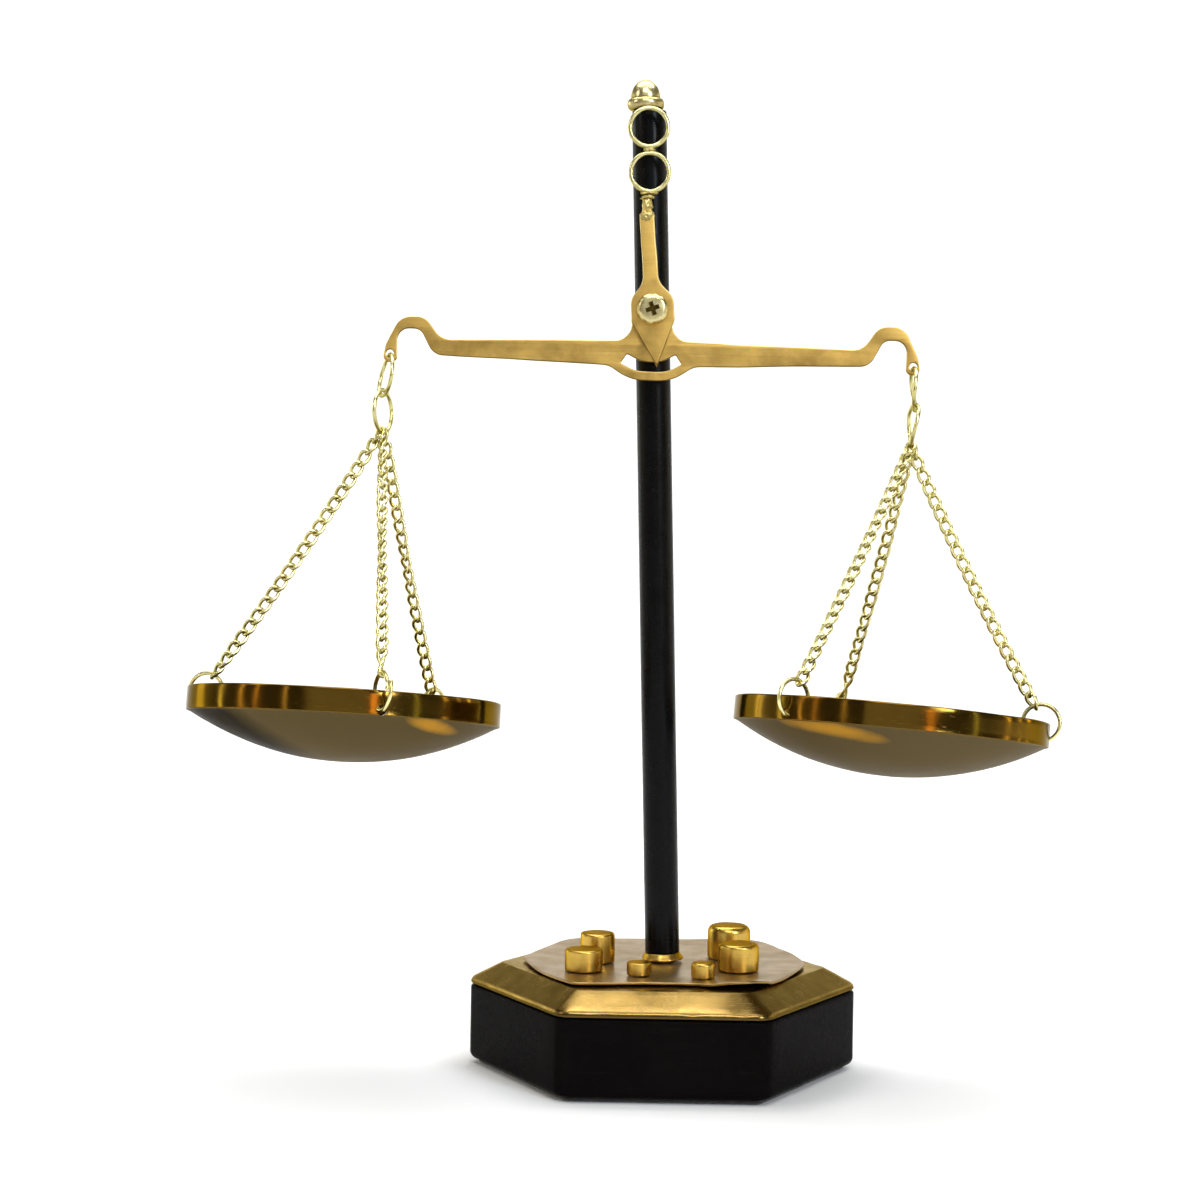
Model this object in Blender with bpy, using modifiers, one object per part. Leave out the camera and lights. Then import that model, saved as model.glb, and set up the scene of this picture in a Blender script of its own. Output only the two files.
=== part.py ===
"""Brass weighing scale: an ornamental equal-arm balance on a hexagonal base.

Sizes are in millimetres until they reach Blender, which works in metres.
The origin is the centre of the base's underside, +Z is up, +X runs along the beam and -Y is the front.
"""

from math import cos, pi, radians, sin, tan

import bmesh
import bpy
from mathutils import Matrix, Vector

MM = 0.001
GAP = 0.3                    # clearance left between pieces that touch

# Base
BASE_CORNER_R = 58.0         # centre to corner of the hexagon
BLOCK_HEIGHT = 23.4
BLOCK_ROUNDING = 2.2
FELT_THICKNESS = 1.0
FELT_INSET = 1.2
COVER_LIP = 1.8              # upright lip of the sheet-metal cover
COVER_TOP = 30.0
COVER_INNER_R = 48.3         # corner radius of the cover's flat top
COVER_SHEET = 0.7
PLATE_SHEET = 0.8
PLATE_HALF_WIDTH = 41.5
PLATE_HALF_DEPTH = 37.0
PLATE_CORNER_X = 26.5
STUD_HOLE_R = 4.2
COUNTERBORE_R = 9.5
COUNTERBORE_DEPTH = 9.0

# Post and what is fixed along it
POST_LEAN = -1.73            # degrees about +Y, so the top leans to the left
POST_R = 5.1
POST_TOP = 252.6             # along the post's axis, from the top of the cover
COLLAR_R = 5.3
COLLAR_HEIGHT = 1.9
STUD_R = 3.0
STUD_IN_POST = 18.0
NUT_ACROSS_FLATS = 10.0
NUT_HEIGHT = 5.0
WASHER_R = 7.5
WASHER_SHEET = 1.0
FINIAL_OFFSET = -1.0
FINIAL_COLLAR_R = 5.5
FINIAL_DOME_R = 4.35
FINIAL_HEIGHT = 9.0
FINIAL_STUD_R = 1.8

# Pivot: spacer, hanger fork, beam and screw, stacked forward from the post
PIVOT_HEIGHT = 193.2         # along the post's axis, from the top of the cover
SPACER_LENGTH = 1.2
SPACER_R = 4.2
CHEEK = 1.2
BEAM_THICKNESS = 1.8
HANGER_BACK = -(POST_R + 2 * GAP + SPACER_LENGTH)
BEAM_Y = HANGER_BACK - CHEEK - GAP - BEAM_THICKNESS / 2
HANGER_FRONT = BEAM_Y - BEAM_THICKNESS / 2 - GAP - CHEEK
SCREW_HEAD_R = 4.35
SCREW_HEAD_HEIGHT = 2.8
SCREW_R = 1.8
SCREW_DEPTH = 4.0            # how far the screw enters the post
SCREW_TURN = 17.0

# Hanger fork, above and below the pivot
HANGER_LEAN = -4.1 - POST_LEAN
HANGER_TOP = 33.4
HANGER_DISC_R = 6.3
STRAP_HALF_WIDTH = 2.25
POINTER_TIP = -17.2
FORK_SLOT_TOP = 8.6
NECK_THICKNESS = 2.2

# Rings soldered edge to edge above the hanger
TOP_RING_R = 5.55            # all ring radii are to the middle of the wire
TOP_RING_WIRE = 0.66
TOP_RINGS_X = -0.15
UPPER_TOP_RING_UP = 53.35    # above the pivot, along the post
LOWER_TOP_RING_UP = 40.3

# Beam, from the pivot
BEAM_TILT = 0.8              # degrees about +Y from level, right side down
LOBE_HALF_WIDTH = 5.6
PIVOT_HOLE_R = 2.3
EYE_X = 76.35
EYE_Z = -14.6
EYE_HOLE_R = 1.35
EYE_HALF_WIDTH = 2.2

# Hanging rings and chains
LINK_RING_R = 6.15
LINK_RING_WIRE = 0.62
LINK_SLACK = 0.35
EYE_SEAT = 0.35              # the upper ring sits this far below the eye's centre
CHAIN_R = 1.3
CHAIN_CLEAR_OF_APEX = 4.4

# Pans
PAN_R = 45.0
PAN_SHEET = 0.8
PAN_BAND = 6.9
PAN_DEPTH = 19.2
PAN_HOLE_R = 1.5
PAN_RING_R = 5.2
PAN_RING_WIRE = 0.58

# Each side: lean angles are (to the left, to the front) in degrees, turns are about the piece's own axis,
# and pan rings are (angle round the rim, hole's depth below it, lean towards the chains, twist)
SIDES = {
    "left": {
        "sign": -1, "hook_top": -3.5,
        "upper_lean": (8.5, 6.4), "upper_turn": 17.0,
        "lower_lean": (0.5, 6.4), "lower_turn": -19.0,
        "apex_to_rim": 77.4, "pan_lean": (6.5, 6.7), "pan_tilt": (2.3, 6.8),
        "pan_rings": ((169.0, 5.4, 23.0, 0.0), (290.0, 5.4, 12.0, -8.0), (58.0, 5.0, 22.0, 0.0)),
    },
    "right": {
        "sign": 1, "hook_top": -3.0,
        "upper_lean": (-2.2, 6.4), "upper_turn": -10.0,
        "lower_lean": (4.5, 6.4), "lower_turn": 20.0,
        "apex_to_rim": 76.6, "pan_lean": (4.0, 6.7), "pan_tilt": (4.7, 6.0),
        "pan_rings": ((224.0, 5.4, 26.0, 5.0), (347.8, 4.7, 25.0, 0.0), (105.0, 5.0, 22.0, 0.0)),
    },
}

# Loose weights on the plate: x, y, radius, height, edge rounding
WEIGHTS = {
    "weight_back_left": (-19.3, -4.2, 5.05, 8.6, 0.9),
    "weight_front_left": (-23.0, -18.5, 5.45, 6.2, 0.7),
    "weight_small_left": (-7.0, -24.6, 3.45, 3.7, 0.4),
    "weight_small_right": (11.3, -27.2, 3.35, 4.4, 0.9),
    "weight_front_right": (21.9, -14.2, 5.9, 7.8, 1.2),
    "weight_back_right": (19.9, 6.2, 6.35, 9.8, 2.0),
}

COLOURS = {
    "black_lacquer": ((0.008, 0.007, 0.007), 0.25, 0.0),
    "black_steel": ((0.012, 0.012, 0.012), 0.35, 0.2),
    "felt": ((0.03, 0.03, 0.03), 0.95, 0.0),
    "cover_brass": ((0.62, 0.42, 0.14), 0.28, 1.0),
    "plate_brass": ((0.50, 0.39, 0.24), 0.35, 1.0),
    "satin_brass": ((0.60, 0.42, 0.15), 0.42, 1.0),
    "polished_brass": ((0.78, 0.56, 0.16), 0.12, 1.0),
    "pan_brass": ((0.34, 0.22, 0.07), 0.14, 1.0),
    "chain_brass": ((0.90, 0.78, 0.30), 0.18, 1.0),
    "steel": ((0.55, 0.55, 0.54), 0.30, 1.0),
}


def start_scene():
    """Clears the scene and makes one collection for the object and one for its cutters."""
    for old in list(bpy.data.objects):
        bpy.data.objects.remove(old, do_unlink=True)
    collections = []
    for name in ("brass_weighing_scale", "cutters"):
        collection = bpy.data.collections.new(name)
        bpy.context.scene.collection.children.link(collection)
        collections.append(collection)
    return collections


PARTS, CUTTERS = start_scene()


def material(slot, name):
    """One Principled material for a node, from its slot's colour, roughness and metallic value."""
    colour, roughness, metallic = COLOURS[slot]
    made = bpy.data.materials.new(f"{name}_{slot}")
    made.use_nodes = True
    shader = made.node_tree.nodes["Principled BSDF"]
    shader.inputs["Base Color"].default_value = (*colour, 1.0)
    shader.inputs["Roughness"].default_value = roughness
    shader.inputs["Metallic"].default_value = metallic
    return made


def add_object(name, mesh, slot=None, parent=None, place=None):
    """Puts a mesh in the object's collection, or among the cutters when it has no slot.

    place is a matrix in the parent's frame, or in the world's when there is no parent.
    """
    made = bpy.data.objects.new(name, mesh)
    if slot is None:
        CUTTERS.objects.link(made)
        made.hide_render = True
        made.display_type = "WIRE"
    else:
        PARTS.objects.link(made)
        mesh.materials.append(material(slot, name))
        mesh.shade_smooth()
        mesh.set_sharp_from_angle(angle=radians(35))
    made.parent = parent
    made.matrix_basis = place or Matrix.Identity(4)
    return made


def empty(name, parent=None, place=None):
    """An empty that carries the pieces of one body and stands on its joint's axis."""
    made = bpy.data.objects.new(name, None)
    made.empty_display_size = 5 * MM
    PARTS.objects.link(made)
    made.parent = parent
    made.matrix_basis = place or Matrix.Identity(4)
    return made


def shift(x=0.0, y=0.0, z=0.0):
    return Matrix.Translation(Vector((x, y, z)) * MM)


def turn(degrees, axis):
    return Matrix.Rotation(radians(degrees), 4, axis)


def lean(left_and_front, spin=0.0):
    """Turns a hanging piece so that its lower end goes to the left and to the front."""
    left, front = left_and_front
    return turn(left, "Y") @ turn(-front, "X") @ turn(spin, "Z")


def cylinder(radius, bottom, top, sides=32, top_radius=None):
    """A closed cylinder or cone mesh along Z."""
    bm = bmesh.new()
    bmesh.ops.create_cone(
        bm, cap_ends=True, segments=sides, radius1=radius * MM,
        radius2=(radius if top_radius is None else top_radius) * MM, depth=(top - bottom) * MM,
        matrix=shift(z=(top + bottom) / 2) @ turn(90 if sides == 6 else 0, "Z"),
    )
    mesh = bpy.data.meshes.new("cylinder")
    bm.to_mesh(mesh)
    bm.free()
    return mesh


def box(x_size, y_size, z_size, centre):
    bm = bmesh.new()
    bmesh.ops.create_cube(bm, size=1.0)
    bm.transform(shift(*centre) @ Matrix.Diagonal(Vector((x_size, y_size, z_size, 1000.0)) * MM))
    mesh = bpy.data.meshes.new("box")
    bm.to_mesh(mesh)
    bm.free()
    return mesh


def torus(radius, wire, around=24, across=8):
    """A ring in the YZ plane whose top point is at the origin."""
    bpy.ops.mesh.primitive_torus_add(
        major_radius=radius * MM, minor_radius=wire * MM, major_segments=around, minor_segments=across)
    ring = bpy.context.object
    mesh = ring.data
    bpy.data.objects.remove(ring)
    mesh.transform(shift(z=-radius) @ turn(90, "Y"))
    return mesh


def turned(name, profile, steps, slot, parent=None, place=None):
    """A solid of revolution about Z. The profile holds (radius, height) and runs down its outer side."""
    mesh = bpy.data.meshes.new(name)
    points = [(r * MM, 0.0, z * MM) for r, z in profile]
    mesh.from_pydata(points, [(i, i + 1) for i in range(len(points) - 1)], [])
    made = add_object(name, mesh, slot, parent, place)
    screw = made.modifiers.new("turn", "SCREW")
    screw.axis = "Z"
    screw.angle = 2 * pi
    screw.steps = steps
    screw.render_steps = steps
    screw.use_merge_vertices = True
    screw.merge_threshold = 1e-6
    return made


def arc(centre, radius, start, end, steps):
    """Points of an arc in a profile or outline, from one angle in degrees to another."""
    angles = [radians(start + (end - start) * i / steps) for i in range(steps + 1)]
    return [(centre[0] + radius * cos(a), centre[1] + radius * sin(a)) for a in angles]


def filleted(corners):
    """A closed outline from (x, y, radius) corners, with each corner rounded by an arc."""
    points = []
    for i, (x, y, radius) in enumerate(corners):
        corner = Vector((x, y))
        before = (Vector(corners[i - 1][:2]) - corner).normalized()
        after = (Vector(corners[(i + 1) % len(corners)][:2]) - corner).normalized()
        half = before.angle(after) / 2
        reach = radius / tan(half)
        centre = corner + (before + after).normalized() * (radius / sin(half))
        first, last = corner + before * reach - centre, corner + after * reach - centre
        sweep = first.angle_signed(last)
        steps = max(1, round(abs(sweep) / radians(20)))
        for step in range(steps + 1):
            angle = -sweep * step / steps
            points.append(centre + Matrix.Rotation(angle, 2) @ first)
    return points


def circle(x, y, radius, sides=20):
    return [(x + radius * cos(2 * pi * i / sides), y + radius * sin(2 * pi * i / sides)) for i in range(sides)]


def sheet(name, loops, thickness, edge=0.0, upright=True):
    """A flat piece cut to an outline, with holes. Its outline is in XZ when upright, in XY when flat."""
    curve = bpy.data.curves.new(name, "CURVE")
    curve.dimensions = "2D"
    curve.fill_mode = "BOTH"
    curve.extrude = (thickness / 2 - edge) * MM
    curve.bevel_depth = edge * MM
    curve.bevel_resolution = 0
    curve.offset = -edge * MM
    for loop in loops:
        spline = curve.splines.new("POLY")
        spline.points.add(len(loop) - 1)
        for point, (x, y) in zip(spline.points, loop):
            point.co = (x * MM, y * MM, 0.0, 1.0)
        spline.use_cyclic_u = True
    return mesh_of(curve, turn(90, "X") if upright else Matrix.Identity(4))


def mesh_of(curve, place=None):
    """The closed mesh of a curve, with its caps welded on."""
    holder = bpy.data.objects.new(curve.name, curve)
    PARTS.objects.link(holder)
    bpy.context.view_layer.update()
    mesh = bpy.data.meshes.new_from_object(holder.evaluated_get(bpy.context.evaluated_depsgraph_get()))
    bpy.data.objects.remove(holder)
    bm = bmesh.new()
    bm.from_mesh(mesh)
    bmesh.ops.remove_doubles(bm, verts=bm.verts, dist=1e-6)
    bmesh.ops.recalc_face_normals(bm, faces=bm.faces)
    if bm.calc_volume(signed=True) < 0:
        bmesh.ops.reverse_faces(bm, faces=bm.faces)
    bm.transform(place or Matrix.Identity(4))
    bm.to_mesh(mesh)
    bm.free()
    return mesh


def boolean(target, mesh, place=None, operation="DIFFERENCE"):
    """Cuts a shape, given in the target's own frame, out of the target, or joins it on."""
    cutter = add_object(f"{target.name}_cutter_{len(target.modifiers)}", mesh, None, target, place)
    modifier = target.modifiers.new("cut", "BOOLEAN")
    modifier.operation = operation
    modifier.solver = "EXACT"
    modifier.object = cutter


# ---------------------------------------------------------------- base

def base_block():
    """The lacquered block: a hexagonal prism with a smaller core that fills the metal cover."""
    low = FELT_THICKNESS + GAP
    block = add_object("base_block", cylinder(BASE_CORNER_R, low, BLOCK_HEIGHT, 6), "black_lacquer")
    mesh = block.data
    weights = mesh.attributes.new("bevel_weight_edge", "FLOAT", "EDGE")
    for edge in mesh.edges:
        ends = [mesh.vertices[i].co.z for i in edge.vertices]
        at_top = min(ends) > BLOCK_HEIGHT * MM * 0.9
        weights.data[edge.index].value = 0.0 if at_top else 1.0
    bevel = block.modifiers.new("round", "BEVEL")
    bevel.limit_method = "WEIGHT"
    bevel.width = BLOCK_ROUNDING * MM
    bevel.segments = 3
    clear = COVER_SHEET + GAP
    core = cylinder(BASE_CORNER_R - 4 * clear, BLOCK_HEIGHT - 5, COVER_TOP - clear, 6, COVER_INNER_R - 3 * clear)
    boolean(block, core, operation="UNION")
    boolean(block, cylinder(STUD_HOLE_R, -5, COVER_TOP + 5, 24))
    boolean(block, cylinder(COUNTERBORE_R, -5, low + COUNTERBORE_DEPTH, 32))
    return block


def base_cover():
    """The sheet-metal cover: lip, mitred bevel and flat top, pressed as one hexagonal tray."""
    lip_bottom = BLOCK_HEIGHT + GAP
    lip_top = lip_bottom + COVER_LIP
    sheet_up = COVER_TOP - COVER_SHEET
    wall = COVER_SHEET / cos(radians(30))
    profile = [
        (STUD_HOLE_R, COVER_TOP),
        (COVER_INNER_R, COVER_TOP),
        (BASE_CORNER_R, lip_top),
        (BASE_CORNER_R, lip_bottom),
        (BASE_CORNER_R - wall, lip_bottom),
        (BASE_CORNER_R - wall, lip_top - COVER_SHEET / 2),
        (COVER_INNER_R - wall / 2, sheet_up),
        (STUD_HOLE_R, sheet_up),
        (STUD_HOLE_R, COVER_TOP),
    ]
    return turned("base_cover", profile, 6, "cover_brass")


def top_plate():
    """The thin hand-cut plate that lies on the cover."""
    corner = 16.0
    outline = filleted([
        (PLATE_HALF_WIDTH + 3, 0.0, 26.0),
        (PLATE_CORNER_X, -PLATE_HALF_DEPTH, corner),
        (-PLATE_CORNER_X, -PLATE_HALF_DEPTH, corner),
        (-PLATE_HALF_WIDTH - 3, 0.0, 26.0),
        (-PLATE_CORNER_X, PLATE_HALF_DEPTH, corner),
        (PLATE_CORNER_X, PLATE_HALF_DEPTH, corner),
    ])
    mesh = sheet("top_plate", [outline, circle(0, 0, STUD_HOLE_R)], PLATE_SHEET, upright=False)
    up = COVER_TOP + GAP + PLATE_SHEET / 2
    return add_object("top_plate", mesh, "plate_brass", place=shift(z=up))


def felt_pad():
    return add_object(
        "felt_pad", cylinder(BASE_CORNER_R - BLOCK_ROUNDING - FELT_INSET, 0.0, FELT_THICKNESS, 6), "felt")


# ---------------------------------------------------------------- post

def post_and_fixings(post_axis):
    """The post stands on a collar, on a stud that a nut and washer pull down under the block."""
    collar_low = 2 * GAP + PLATE_SHEET + 0.2
    collar_high = collar_low + COLLAR_HEIGHT
    post_low = collar_high + GAP
    stud_top = post_low + STUD_IN_POST
    counterbore_up = FELT_THICKNESS + GAP + COUNTERBORE_DEPTH - COVER_TOP

    post = add_object("post", cylinder(POST_R, post_low, POST_TOP), "black_steel", post_axis)
    boolean(post, cylinder(STUD_R + GAP, post_low - 5, stud_top + 1, 20))
    boolean(post, cylinder(FINIAL_STUD_R + GAP, POST_TOP - 7, POST_TOP + 5, 16), shift(x=FINIAL_OFFSET))
    into_post = turn(90, "X")
    screw_hole = cylinder(SCREW_R + GAP, 0.0, 20.0, 20)
    boolean(post, screw_hole, shift(y=-POST_R + SCREW_DEPTH + 1, z=PIVOT_HEIGHT) @ into_post)

    ring = [(STUD_R + GAP, collar_high), (COLLAR_R, collar_high), (COLLAR_R, collar_low),
            (STUD_R + GAP, collar_low), (STUD_R + GAP, collar_high)]
    turned("foot_collar", ring, 32, "polished_brass", post_axis)

    washer_high = counterbore_up - GAP
    washer_low = washer_high - WASHER_SHEET
    nut_high = washer_low - GAP
    nut_low = nut_high - NUT_HEIGHT
    stud_low = nut_low - 1.0
    add_object("post_stud", cylinder(STUD_R, stud_low, stud_top, 24), "steel", post_axis)
    washer = [(STUD_R + GAP, washer_high), (WASHER_R, washer_high), (WASHER_R, washer_low),
              (STUD_R + GAP, washer_low), (STUD_R + GAP, washer_high)]
    turned("stud_washer", washer, 28, "steel", post_axis)
    nut_r = NUT_ACROSS_FLATS / 2 / cos(radians(30))
    nut = add_object("stud_nut", cylinder(nut_r, nut_low, nut_high, 6), "steel", post_axis)
    boolean(nut, cylinder(STUD_R + GAP, nut_low - 2, nut_high + 2, 24))


def finial(post_axis):
    """The acorn cap: a rounded collar under a tall dome, on a stud in the post's end."""
    bottom = POST_TOP + GAP
    collar_top = bottom + 3.6
    dome_height = FINIAL_HEIGHT - 3.6
    dome = [(FINIAL_DOME_R * cos(radians(a)), collar_top + dome_height * sin(radians(a)))
            for a in range(90, -1, -15)]
    bulge = [(FINIAL_COLLAR_R - 0.9 + 0.9 * cos(radians(a)), bottom + 1.8 + 1.6 * sin(radians(a)))
             for a in range(60, -61, -30)]
    stud = [(FINIAL_STUD_R, bottom), (FINIAL_STUD_R, bottom - 6), (0.0, bottom - 6)]
    profile = [(0.0, dome[0][1])] + dome[1:] + bulge + [(FINIAL_COLLAR_R - 0.9, bottom)] + stud
    turned("finial", profile, 28, "polished_brass", post_axis, shift(x=FINIAL_OFFSET))


# ---------------------------------------------------------------- pivot and hanger

def pivot_parts(pivot):
    """The spacer behind the hanger and the pan-head screw that holds the balance to the post."""
    facing = turn(90, "X")                       # local +Z now points to the front
    back = POST_R + GAP
    spacer = [(SCREW_R + GAP, back + SPACER_LENGTH), (SPACER_R, back + SPACER_LENGTH), (SPACER_R, back),
              (SCREW_R + GAP, back), (SCREW_R + GAP, back + SPACER_LENGTH)]
    turned("pivot_spacer", spacer, 24, "steel", pivot, facing)

    under_head = -HANGER_FRONT + GAP
    head_top = under_head + SCREW_HEAD_HEIGHT
    rounding = 1.6
    head = arc((SCREW_HEAD_R - rounding, head_top - rounding), rounding, 80, 0, 4)
    profile = [(0.0, head_top + 0.1)] + head + [
        (SCREW_HEAD_R, under_head), (SCREW_R, under_head), (SCREW_R, POST_R - SCREW_DEPTH), (0.0, POST_R - SCREW_DEPTH)]
    screw = turned("pivot_screw", profile, 28, "polished_brass", pivot, facing)
    for side in (0, 90):
        recess = box(1.1, 4.6, 3.6, (0, 0, head_top))
        boolean(screw, recess, turn(SCREW_TURN + side, "Z"))


def hanger(pivot):
    """The hanger: a strap that widens into a fork of two discs with pointers, astride the beam."""
    half = STRAP_HALF_WIDTH
    right = [
        (half - 0.15, HANGER_TOP, 0.5),
        (half - 0.45, HANGER_TOP - 4.4, 1.2),
        (half + 0.1, HANGER_TOP - 6.6, 0.6),
        (half - 0.1, 8.0, 6.0),
        (HANGER_DISC_R, 3.4, 5.0),
        (HANGER_DISC_R, -3.2, 3.2),
    ]
    left = [(-x, z, r) for x, z, r in reversed(right)]
    outline = filleted(right + [(0.0, POINTER_TIP, 0.35)] + left)
    depth = HANGER_BACK - HANGER_FRONT
    mesh = sheet("hanger", [outline, circle(0, 0, SCREW_R + GAP)], depth, edge=0.25)
    top, start = HANGER_TOP * MM, FORK_SLOT_TOP * MM
    for vertex in mesh.vertices:
        share = max(0.0, (vertex.co.z - start) / (top - start))
        slim = 1.0 - share * (1.0 - NECK_THICKNESS / depth)
        vertex.co.y = (vertex.co.y - depth / 2 * MM) * slim + HANGER_BACK * MM
    made = add_object("hanger", mesh, "satin_brass", pivot, turn(HANGER_LEAN, "Y"))
    slot_y = BEAM_THICKNESS + 2 * GAP
    low = POINTER_TIP - 5
    boolean(made, box(40, slot_y, FORK_SLOT_TOP - low, (0, BEAM_Y, (FORK_SLOT_TOP + low) / 2)))


def top_rings(pivot):
    """Two rings soldered edge to edge, flat in front of the post."""
    ring_y = HANGER_BACK - NECK_THICKNESS / 2
    for name, up in (("top_ring_upper", UPPER_TOP_RING_UP), ("top_ring_lower", LOWER_TOP_RING_UP)):
        facing = shift(TOP_RINGS_X, ring_y, up + TOP_RING_R) @ turn(90, "Z")
        add_object(name, torus(TOP_RING_R, TOP_RING_WIRE), "satin_brass", pivot, facing)


# ---------------------------------------------------------------- beam

def beam_half(side):
    """Corners of the beam's right half, from the top of its lobe to the bottom of its window."""
    hook_top = SIDES[side]["hook_top"]
    eye_low = EYE_Z - 2.5
    return [
        (LOBE_HALF_WIDTH, 5.6, 5.2),                     # lobe round the pivot
        (LOBE_HALF_WIDTH + 0.4, -8.9, 5.0),              # shoulder
        (61.4, -10.1, 6.0),                              # arm meets the hook
        (66.2, hook_top, 4.6),
        (73.0, hook_top, 5.6),
        (77.3, -12.0, 5.0),                              # the hook narrows above its eye
        (EYE_X + EYE_HALF_WIDTH, eye_low, 1.9),
        (EYE_X - EYE_HALF_WIDTH, eye_low, 1.9),
        (EYE_X - 2.0, -7.1, 3.4),
        (67.6, -7.1, 3.2),
        (63.6, -14.7, 2.6),
        (12.4, -16.3, 6.0),                              # arm meets the window
        (6.0, -20.6, 14.0),
    ]


def beam(beam_pivot):
    """The beam: one flat piece with a hook and an eye at each end and a crescent window."""
    right = beam_half("right")
    left = [(-x, z, r) for x, z, r in reversed(beam_half("left"))]
    window = filleted([
        (-7.1, -12.9, 0.4), (-2.6, -15.2, 7.0), (2.6, -15.2, 7.0), (7.1, -12.9, 0.4),
        (8.9, -15.6, 0.4), (4.6, -17.9, 10.0), (-4.6, -17.9, 10.0), (-8.9, -15.6, 0.4)])
    loops = [filleted(right + left), window, circle(0, 0, PIVOT_HOLE_R),
             circle(EYE_X, EYE_Z, EYE_HOLE_R, 16), circle(-EYE_X, EYE_Z, EYE_HOLE_R, 16)]
    return add_object("beam", sheet("beam", loops, BEAM_THICKNESS, edge=0.25), "satin_brass", beam_pivot)


# ---------------------------------------------------------------- hanging assemblies

def pan_profile():
    """A shallow dish under an upright band, as (radius, height) from the rim's plane."""
    dome = PAN_DEPTH - PAN_BAND
    edge = PAN_R - 0.7
    sphere = (edge ** 2 + dome ** 2) / (2 * dome)
    steps = 7

    def bowl(offset, rim):
        radii = [rim * i / steps for i in range(steps + 1)]
        return [(r, -PAN_DEPTH + sphere - ((sphere - offset) ** 2 - r ** 2) ** 0.5) for r in radii]

    inside = bowl(PAN_SHEET, edge - PAN_SHEET)
    outside = bowl(0.0, edge)[::-1]
    rim = [(PAN_R - PAN_SHEET, -PAN_BAND + 0.6), (PAN_R - PAN_SHEET, 0.0), (PAN_R, 0.0), (PAN_R, -PAN_BAND + 0.4)]
    return inside + rim + outside


def rim_hole(angle, drop):
    """The place of a pan ring's hole: +X points out through the band."""
    return turn(angle, "Z") @ shift(x=PAN_R - PAN_SHEET / 2, z=-drop)


def hanging_side(side, beam_pivot):
    """Everything that hangs from one eye: two rings, three chains, three pan rings and the pan."""
    spec = SIDES[side]
    level = turn(-BEAM_TILT, "Y")                # undoes the beam's tilt, so leans are from upright

    eye = shift(spec["sign"] * EYE_X, z=EYE_Z) @ level @ shift(z=-EYE_SEAT)
    upper_swing = empty(f"{side}_upper_swing", beam_pivot, eye @ lean(spec["upper_lean"]))
    ring = torus(LINK_RING_R, LINK_RING_WIRE)
    add_object(f"{side}_upper_ring", ring, "chain_brass", upper_swing, turn(spec["upper_turn"], "Z"))

    ring_top = shift(z=-2 * LINK_RING_R + 2 * LINK_RING_WIRE + LINK_SLACK)
    upright = lean(spec["upper_lean"]).inverted()
    lower_swing = empty(f"{side}_lower_swing", upper_swing, ring_top @ upright @ lean(spec["lower_lean"]))
    ring = torus(LINK_RING_R, LINK_RING_WIRE)
    add_object(f"{side}_lower_ring", ring, "chain_brass", lower_swing, turn(spec["lower_turn"], "Z"))

    upright = lean(spec["lower_lean"]).inverted()
    apex = shift(z=-2 * LINK_RING_R) @ upright
    swivel = empty(f"{side}_pan_swivel", lower_swing, apex @ lean(spec["pan_lean"]))
    pan_place = shift(z=-spec["apex_to_rim"]) @ lean(spec["pan_lean"]).inverted() @ lean(spec["pan_tilt"])
    pan = turned(f"{side}_pan", pan_profile(), 56, "pan_brass", swivel, pan_place)

    for letter, (angle, drop, inward, twist) in zip("abc", spec["pan_rings"]):
        hole = rim_hole(angle, drop)
        boolean(pan, cylinder(PAN_HOLE_R, -2, 2, 16), hole @ turn(90, "Y"))
        rise = pan_place @ hole @ turn(-inward, "Y")
        hang = rise @ turn(180, "X") @ turn(90 + twist, "Z")
        ring = torus(PAN_RING_R, PAN_RING_WIRE, 20, 6)
        add_object(f"{side}_pan_ring_{letter}", ring, "chain_brass", swivel, hang)
        chain(f"{side}_chain_{letter}", rise @ Vector((0, 0, 2 * PAN_RING_R * MM)), swivel)


def chain(name, ring_top, swivel):
    """The space one taut chain takes, from the gathered links at the apex to its pan ring."""
    along = ring_top.normalized()
    first = along * CHAIN_CLEAR_OF_APEX * MM
    last = ring_top - along * (PAN_RING_WIRE + GAP) * MM
    curve = bpy.data.curves.new(name, "CURVE")
    curve.dimensions = "3D"
    curve.bevel_depth = CHAIN_R * MM
    curve.bevel_resolution = 2
    curve.use_fill_caps = True
    spline = curve.splines.new("POLY")
    shares = (0.0, 0.03, 0.2, 0.4, 0.6, 0.8, 0.97, 1.0)
    spline.points.add(len(shares) - 1)
    for point, share in zip(spline.points, shares):
        point.co = (*first.lerp(last, share), 1.0)
        point.radius = 0.45 if share in (0.0, 1.0) else 1.0
    return add_object(name, mesh_of(curve), "chain_brass", swivel)


# ---------------------------------------------------------------- weights

def weights():
    """Six loose turned weights that stand on the plate and lift off."""
    deck = COVER_TOP + GAP + PLATE_SHEET + GAP
    for name, (x, y, radius, height, rounding) in WEIGHTS.items():
        top = arc((radius - rounding, height - rounding), rounding, 90, 0, 4)
        profile = [(0.0, height)] + top + [(radius, 0.25), (radius - 0.25, 0.0), (0.0, 0.0)]
        turned(name, profile, 28, "polished_brass", place=shift(x, y, deck))


def build():
    base_block()
    base_cover()
    top_plate()
    felt_pad()

    post_axis = empty("post_axis", place=shift(z=COVER_TOP) @ turn(POST_LEAN, "Y"))
    post_and_fixings(post_axis)
    finial(post_axis)

    pivot = empty("pivot", post_axis, shift(z=PIVOT_HEIGHT))
    pivot_parts(pivot)
    hanger(pivot)
    top_rings(pivot)

    beam_pivot = empty("beam_pivot", pivot, shift(y=BEAM_Y) @ turn(BEAM_TILT - POST_LEAN, "Y"))
    beam(beam_pivot)
    for side in SIDES:
        hanging_side(side, beam_pivot)
    weights()


build()
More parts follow.
